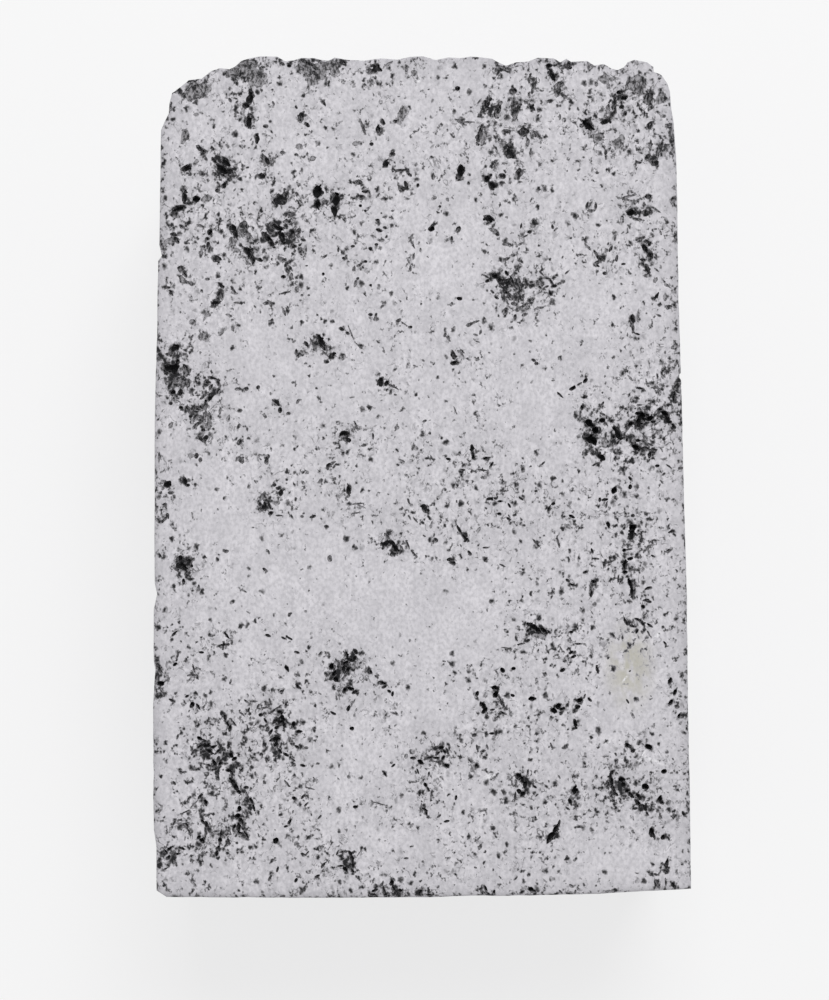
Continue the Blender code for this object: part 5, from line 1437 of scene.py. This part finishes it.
# %% Colours, and the shader that ends every finish
def ramp_of(tree, share, *stops):
    """The colour at that share, between colours set at places from 0 to 1."""
    ramp = add(tree, "ShaderNodeValToRGB", {}, {0: share})
    marks = ramp.color_ramp.elements
    marks.remove(marks[1])
    marks[0].position, marks[0].color = stops[0]
    for place, colour in stops[1:]:
        marks.new(place).color = colour
    return ramp.outputs[0]


def over(tree, below, above, share):
    """One colour laid over another by that share."""
    return only(add(tree, "ShaderNodeMix", {"data_type": "RGBA"},
                    {"Factor": share, "A": below, "B": above}).outputs)


def finish_with(tree, colour, roughness, height, depth):
    """The shader that ends every finish here: matte, with a fine relief."""
    relief = add(tree, "ShaderNodeBump", {},
                 {"Height": height, "Distance": depth, "Strength": 0.6}).outputs[0]
    surface = add(tree, "ShaderNodeBsdfPrincipled", {},
                  {"Base Color": colour, "Roughness": roughness, "Normal": relief,
                   "Specular IOR Level": 0.3})
    add(tree, "ShaderNodeOutputMaterial", {}, {"Surface": surface.outputs[0]})


# %% [markdown]
# ## A stain and pale marks
#
# Two things sit on the skin and follow no rule: a faint yellowish stain, and a
# few small pale marks.  Both are ellipses on the top face with an edge frayed by
# noise, so a colour laid over the skin by that share is all they need.

# %% Stain and pale marks
STAIN = (0.47, 0.455, 0.38, 1.0)
STAIN_AT, STAIN_HALF = (24.4, -22.5), (4.0, 6.9, 3.0)   # mm
STAIN_STRENGTH = 0.8
# small pale marks laid over the top face
PALE_MARK = (0.86, 0.85, 0.88, 1.0)
PALE_MARK_DEEP = 0.3           # mm under the top face, as far as the pale glass shows
PALE_MARKS = [   # x, y, length and width in mm, turn in degrees
    (27.2, -33.7, 3.6, 0.5, -22), (25.9, -33.2, 2.4, 0.35, 60), (7.8, -35.6, 1.8, 0.8, 20),
    (27.6, -18.9, 1.6, 0.6, 45), (-0.5, 46.8, 1.1, 0.5, 70), (23.9, -24.0, 1.5, 0.3, 50),
    (20.5, -28.9, 1.6, 0.25, -35), (22.0, -31.5, 2.2, 0.3, 25)]


def stained(tree):
    """The share of the stain: a soft patch on the top face, broken up by a noise."""
    place = add(tree, "ShaderNodeTexCoord").outputs["Object"]
    away = vector_of(tree, "DIVIDE", vector_of(tree, "SUBTRACT", place, tuple(on_top(*STAIN_AT))),
                     tuple(part * MM for part in STAIN_HALF))
    far = add(tree, "ShaderNodeVectorMath", {"operation": "LENGTH"}, {0: away}).outputs["Value"]
    patch = eased(tree, far, 0.1, 1.0, first=1.0, last=0.0)
    return math_of(tree, "MULTIPLY", patch, soft_noise(tree, (1.2, 1.8, 1.2), 0.3, 0.6))


def pale_marked(tree):
    """The share of the pale marks: thin ellipses on the top face, frayed by a fine noise."""
    place = in_mm(tree)
    total = 0.0
    for x, y, length, width, turn in PALE_MARKS:
        away = vector_of(tree, "SUBTRACT", place, tuple(on_top(x, y) / MM))
        turn = math.radians(turn)
        parts = []
        for direction, half in (((math.cos(turn), math.sin(turn), 0.0), length / 2),
                                ((-math.sin(turn), math.cos(turn), 0.0), width / 2),
                                ((0.0, 0.0, 1.0), PALE_MARK_DEEP)):
            dot = add(tree, "ShaderNodeVectorMath", {"operation": "DOT_PRODUCT"},
                      {0: away, 1: tuple(part / half for part in direction)})
            parts.append(math_of(tree, "MULTIPLY", dot.outputs["Value"], dot.outputs["Value"]))
        far = math_of(tree, "ADD", math_of(tree, "ADD", parts[0], parts[1]), parts[2])
        total = math_of(tree, "MAXIMUM", total, math_of(tree, "SUBTRACT", 1.0, far))
    frayed = soft_noise(tree, (0.25, 0.25, 0.25), 0.35, 0.6)
    return math_of(tree, "MULTIPLY", add(tree, "ShaderNodeClamp", {}, {0: total}).outputs[0], frayed)


# %% [markdown]
# ## Mix the skin
#
# From below to above: the pale glass, the clouds and streaks, the haze of fine
# froth, the stain, the pores with their painted shade, and last the pale marks.
# The pores also go into the bump, so that they catch the light as holes do.

# %% Shares and pores
def value_of(tree, name):
    """The value stored under that name."""
    return add(tree, "ShaderNodeAttribute", {"attribute_name": name}).outputs["Fac"]


def mixed_shares(tree, *parts):
    """The sum of some shares, each taken that many times, kept between 0 and 1."""
    total = 0.0
    for share, times in parts:
        total = math_of(tree, "MULTIPLY_ADD", share, times, total)
    return add(tree, "ShaderNodeClamp", {}, {0: total}).outputs[0]


def pores_of(tree, grain, detail, crowd, rare, common, soft):
    """How deep a froth pore goes, 0 to 1.  The more crowded, the lower the noise it starts at."""
    above = math_of(tree, "SUBTRACT", noise_in(tree, grain, detail, 0.6),
                    between(tree, crowd, rare, common))
    return add(tree, "ShaderNodeClamp", {}, {0: math_of(tree, "DIVIDE", above, soft)}).outputs[0]


# %% Mix the skin
EVERYWHERE = 0.12            # the least dust, even where the skin is smoothest
PORE_DEPTH = 0.12 * MM       # of the relief
GRAIN_SHARE = 0.2            # of that depth


def make_skin(tree):
    near, wide, lip, rim, zone = (value_of(tree, name) for name in
                                  ("froth near", "froth wide", "lip", "rim", "zone"))
    patches = soft_noise(tree, (5.0, 6.0, 5.0), 0.36, 0.64)
    frothy = mixed_shares(tree, (near, 0.55), (lip, 0.55), (rim, 0.7))
    busy = mixed_shares(tree, (wide, 0.7), (patches, 0.35), (zone, 0.9), (rim, 0.6))
    clouds = soft_noise(tree, (2.6, 3.6, 2.6), 0.3, 0.7, 6.0, 0.68)
    haze = soft_noise(tree, (0.9, 1.2, 0.9), 0.45, 0.75, 4.0)
    grain = soft_noise(tree, (0.36, 0.48, 0.36), 0.35, 0.75)
    streaks = soft_noise(tree, (0.6, 13.0, 9.0), 0.5, 0.8, 2.0)
    hazy = math_of(tree, "MULTIPLY", haze,
                   mixed_shares(tree, (near, 0.7), (wide, 0.4), (zone, 0.5), (rim, 0.8)))
    dusty = math_of(tree, "MULTIPLY", soft_noise(tree, (0.55, 0.7, 0.55), 0.46, 0.70, 3.0, 0.6),
                    mixed_shares(tree, (busy, 1.0), (near, 0.6), (EVERYWHERE, 1.0)))
    # each share below greys the skin; the rim's is partly its wear and partly painted shade where the
    # rounded rim turns from the light
    tone = PALE
    for share, most in ((clouds, 0.45), (grain, 0.7), (streaks, 0.25),
                        (dusty, 0.9), (hazy, 1.0), (rim, 0.8)):
        tone = over(tree, tone, CLOUD, math_of(tree, "MULTIPLY", share, most))
    large = pores_of(tree, (0.85, 1.05, 0.85), detail=3.0, crowd=frothy,
                     rare=0.70, common=0.42, soft=0.18)
    small = pores_of(tree, (0.62, 0.75, 0.62), detail=2.0, crowd=busy,
                     rare=0.68, common=0.50, soft=0.18)
    dots = specks(tree, size=0.9, crowd=busy, rare=0.02, common=0.9)
    cracks = threads(tree, size=1.7, crowd=mixed_shares(tree, (busy, 0.65), (near, 0.35)))
    pores = math_of(tree, "MAXIMUM", math_of(tree, "MAXIMUM", large, small),
                    math_of(tree, "MAXIMUM", dots, cracks))
    # the pores' colour: painted shade of holes too small to model, near black at their bottom, over darker
    # glass
    inside = ramp_of(tree, pores, (0.0, CLOUD), (0.25, LIP), (0.55, HALF_SHADE), (0.85, DEEP_SHADE))
    edge = add(tree, "ShaderNodeMapRange", {}, {"Value": pores, "From Max": 0.25}).outputs[0]
    tone = over(tree, tone, STAIN, math_of(tree, "MULTIPLY", stained(tree), STAIN_STRENGTH))
    tone = over(tree, tone, inside, edge)
    tone = over(tree, tone, PALE_MARK, pale_marked(tree))
    height = math_of(tree, "SUBTRACT", math_of(tree, "MULTIPLY", grain, -GRAIN_SHARE), pores)
    finish_with(tree, tone, roughness=0.92, height=height, depth=PORE_DEPTH)


make_skin(SKIN.node_tree)
print("sanded skin:", len(SKIN.node_tree.nodes), "nodes")

# %% [markdown]
# ## The bubble walls
#
# The attribute "sunk" tells how far a point lies under the skin.  A ramp turns
# it into a tone: mid grey just under the lip, and near black further down.  That
# darkening is painted shade, the light lost in the froth behind each opening,
# laid over the glass's own darker tone.  The walls are frothy themselves, so a
# noise makes the same depth look shallower in one place and deeper in the next.
# Real light does the rest.

# %% Mix the walls
SHADED_BLACK_BELOW = 0.65 * MM       # where a wall would be near black, were it not for its froth
# painted shade of the walls: the deeper a point lies, the darker it is painted, over the glass's own
# darker tone
WALL_FROTH, WALL_LIFT = 0.95, 0.39   # how much its froth darkens it, and how much all is lightened
WALL_RELIEF = 0.1 * MM


def make_wall(tree):
    froth = soft_noise(tree, (0.32, 0.55, 0.32), 0.36, 0.64, 4.0, 0.65)
    depth = math_of(tree, "DIVIDE", value_of(tree, "sunk"), SHADED_BLACK_BELOW)
    darker = math_of(tree, "MULTIPLY_ADD", froth, WALL_FROTH, -WALL_LIFT)
    depth = math_of(tree, "ADD", depth, darker)
    # the ramp paints the shade of the hollow: mid grey under the lip, near black at the bottom
    tone = ramp_of(tree, depth, (0.0, LIP), (0.3, CHIP), (0.57, HALF_SHADE), (0.94, DEEP_SHADE))
    finish_with(tree, tone, roughness=0.75, height=froth, depth=WALL_RELIEF)


make_wall(WALL.node_tree)
print("bubble wall:", len(WALL.node_tree.nodes), "nodes")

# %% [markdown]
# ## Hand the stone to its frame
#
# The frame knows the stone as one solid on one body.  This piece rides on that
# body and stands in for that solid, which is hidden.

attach(stone, "root")
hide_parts("pumice_stone")
triangles = sum(len(face.vertices) - 2 for face in stone.data.polygons)
print("stone:", triangles, "triangles")

# %% [markdown]
# ## Floor, light and camera
#
# The stone lies on a plain pale floor under one large soft lamp, a little to
# the right and beyond it, with a pale sky all round.  The camera looks straight
# down through a long lens, so that the sides stay hidden behind the top face.

# %% Floor
FLOOR_HALF = 3.0             # metres
FLOOR_GREY, FLOOR_GLOW = (0.30, 0.30, 0.302, 1.0), 0.64   # a lit ground, so shadows stay faint on it
mesh = bpy.data.meshes.new("floor")
mesh.from_pydata([(-FLOOR_HALF, -FLOOR_HALF, 0), (FLOOR_HALF, -FLOOR_HALF, 0),
                  (FLOOR_HALF, FLOOR_HALF, 0), (-FLOOR_HALF, FLOOR_HALF, 0)], [], [(0, 1, 2, 3)])
floor = placed("floor", mesh)
paper = bpy.data.materials.new("floor")
paper.use_nodes = True
for name, value in (("Base Color", FLOOR_GREY), ("Roughness", 0.9), ("Specular IOR Level", 0.0),
                    ("Emission Color", (1.0, 1.0, 1.0, 1.0)), ("Emission Strength", FLOOR_GLOW)):
    paper.node_tree.nodes["Principled BSDF"].inputs[name].default_value = value
mesh.materials.append(paper)

# %% Light
SKY = 0.62
LAMP_AT, LAMP_SIZE, LAMP_WATTS = Vector((0.12, 0.55, 0.75)), 0.5, 4.0

world = bpy.data.worlds.new("sky")
world.use_nodes = True
background = world.node_tree.nodes["Background"]
background.inputs["Color"].default_value = (1.0, 1.0, 1.0, 1.0)
background.inputs["Strength"].default_value = SKY
bpy.context.scene.world = world

lamp = placed("lamp", bpy.data.lights.new("lamp", "AREA"))
lamp.data.size, lamp.data.energy = LAMP_SIZE, LAMP_WATTS
lamp.location = LAMP_AT
lamp.rotation_euler = (-LAMP_AT).to_track_quat("-Z", "Y").to_euler()

# %% Camera
FRAME_HEIGHT = 118.15 * MM   # what the camera sees along the stone, at the top face
LENS, SENSOR = 90.0, 36.0    # mm
AIM = Vector((-0.90 * MM, -2.83 * MM, THICKNESS))   # a little to the near left of the middle

camera = placed("camera", bpy.data.cameras.new("camera"))
camera.data.lens, camera.data.sensor_width = LENS, SENSOR
camera.location = AIM + Vector((0, 0, FRAME_HEIGHT * LENS / SENSOR))
camera.data.clip_start, camera.data.clip_end = 0.01, 20.0
bpy.context.scene.camera = camera
bpy.context.scene.view_settings.view_transform = "Standard"
print("camera", round(camera.location.z, 3), "m above the floor")
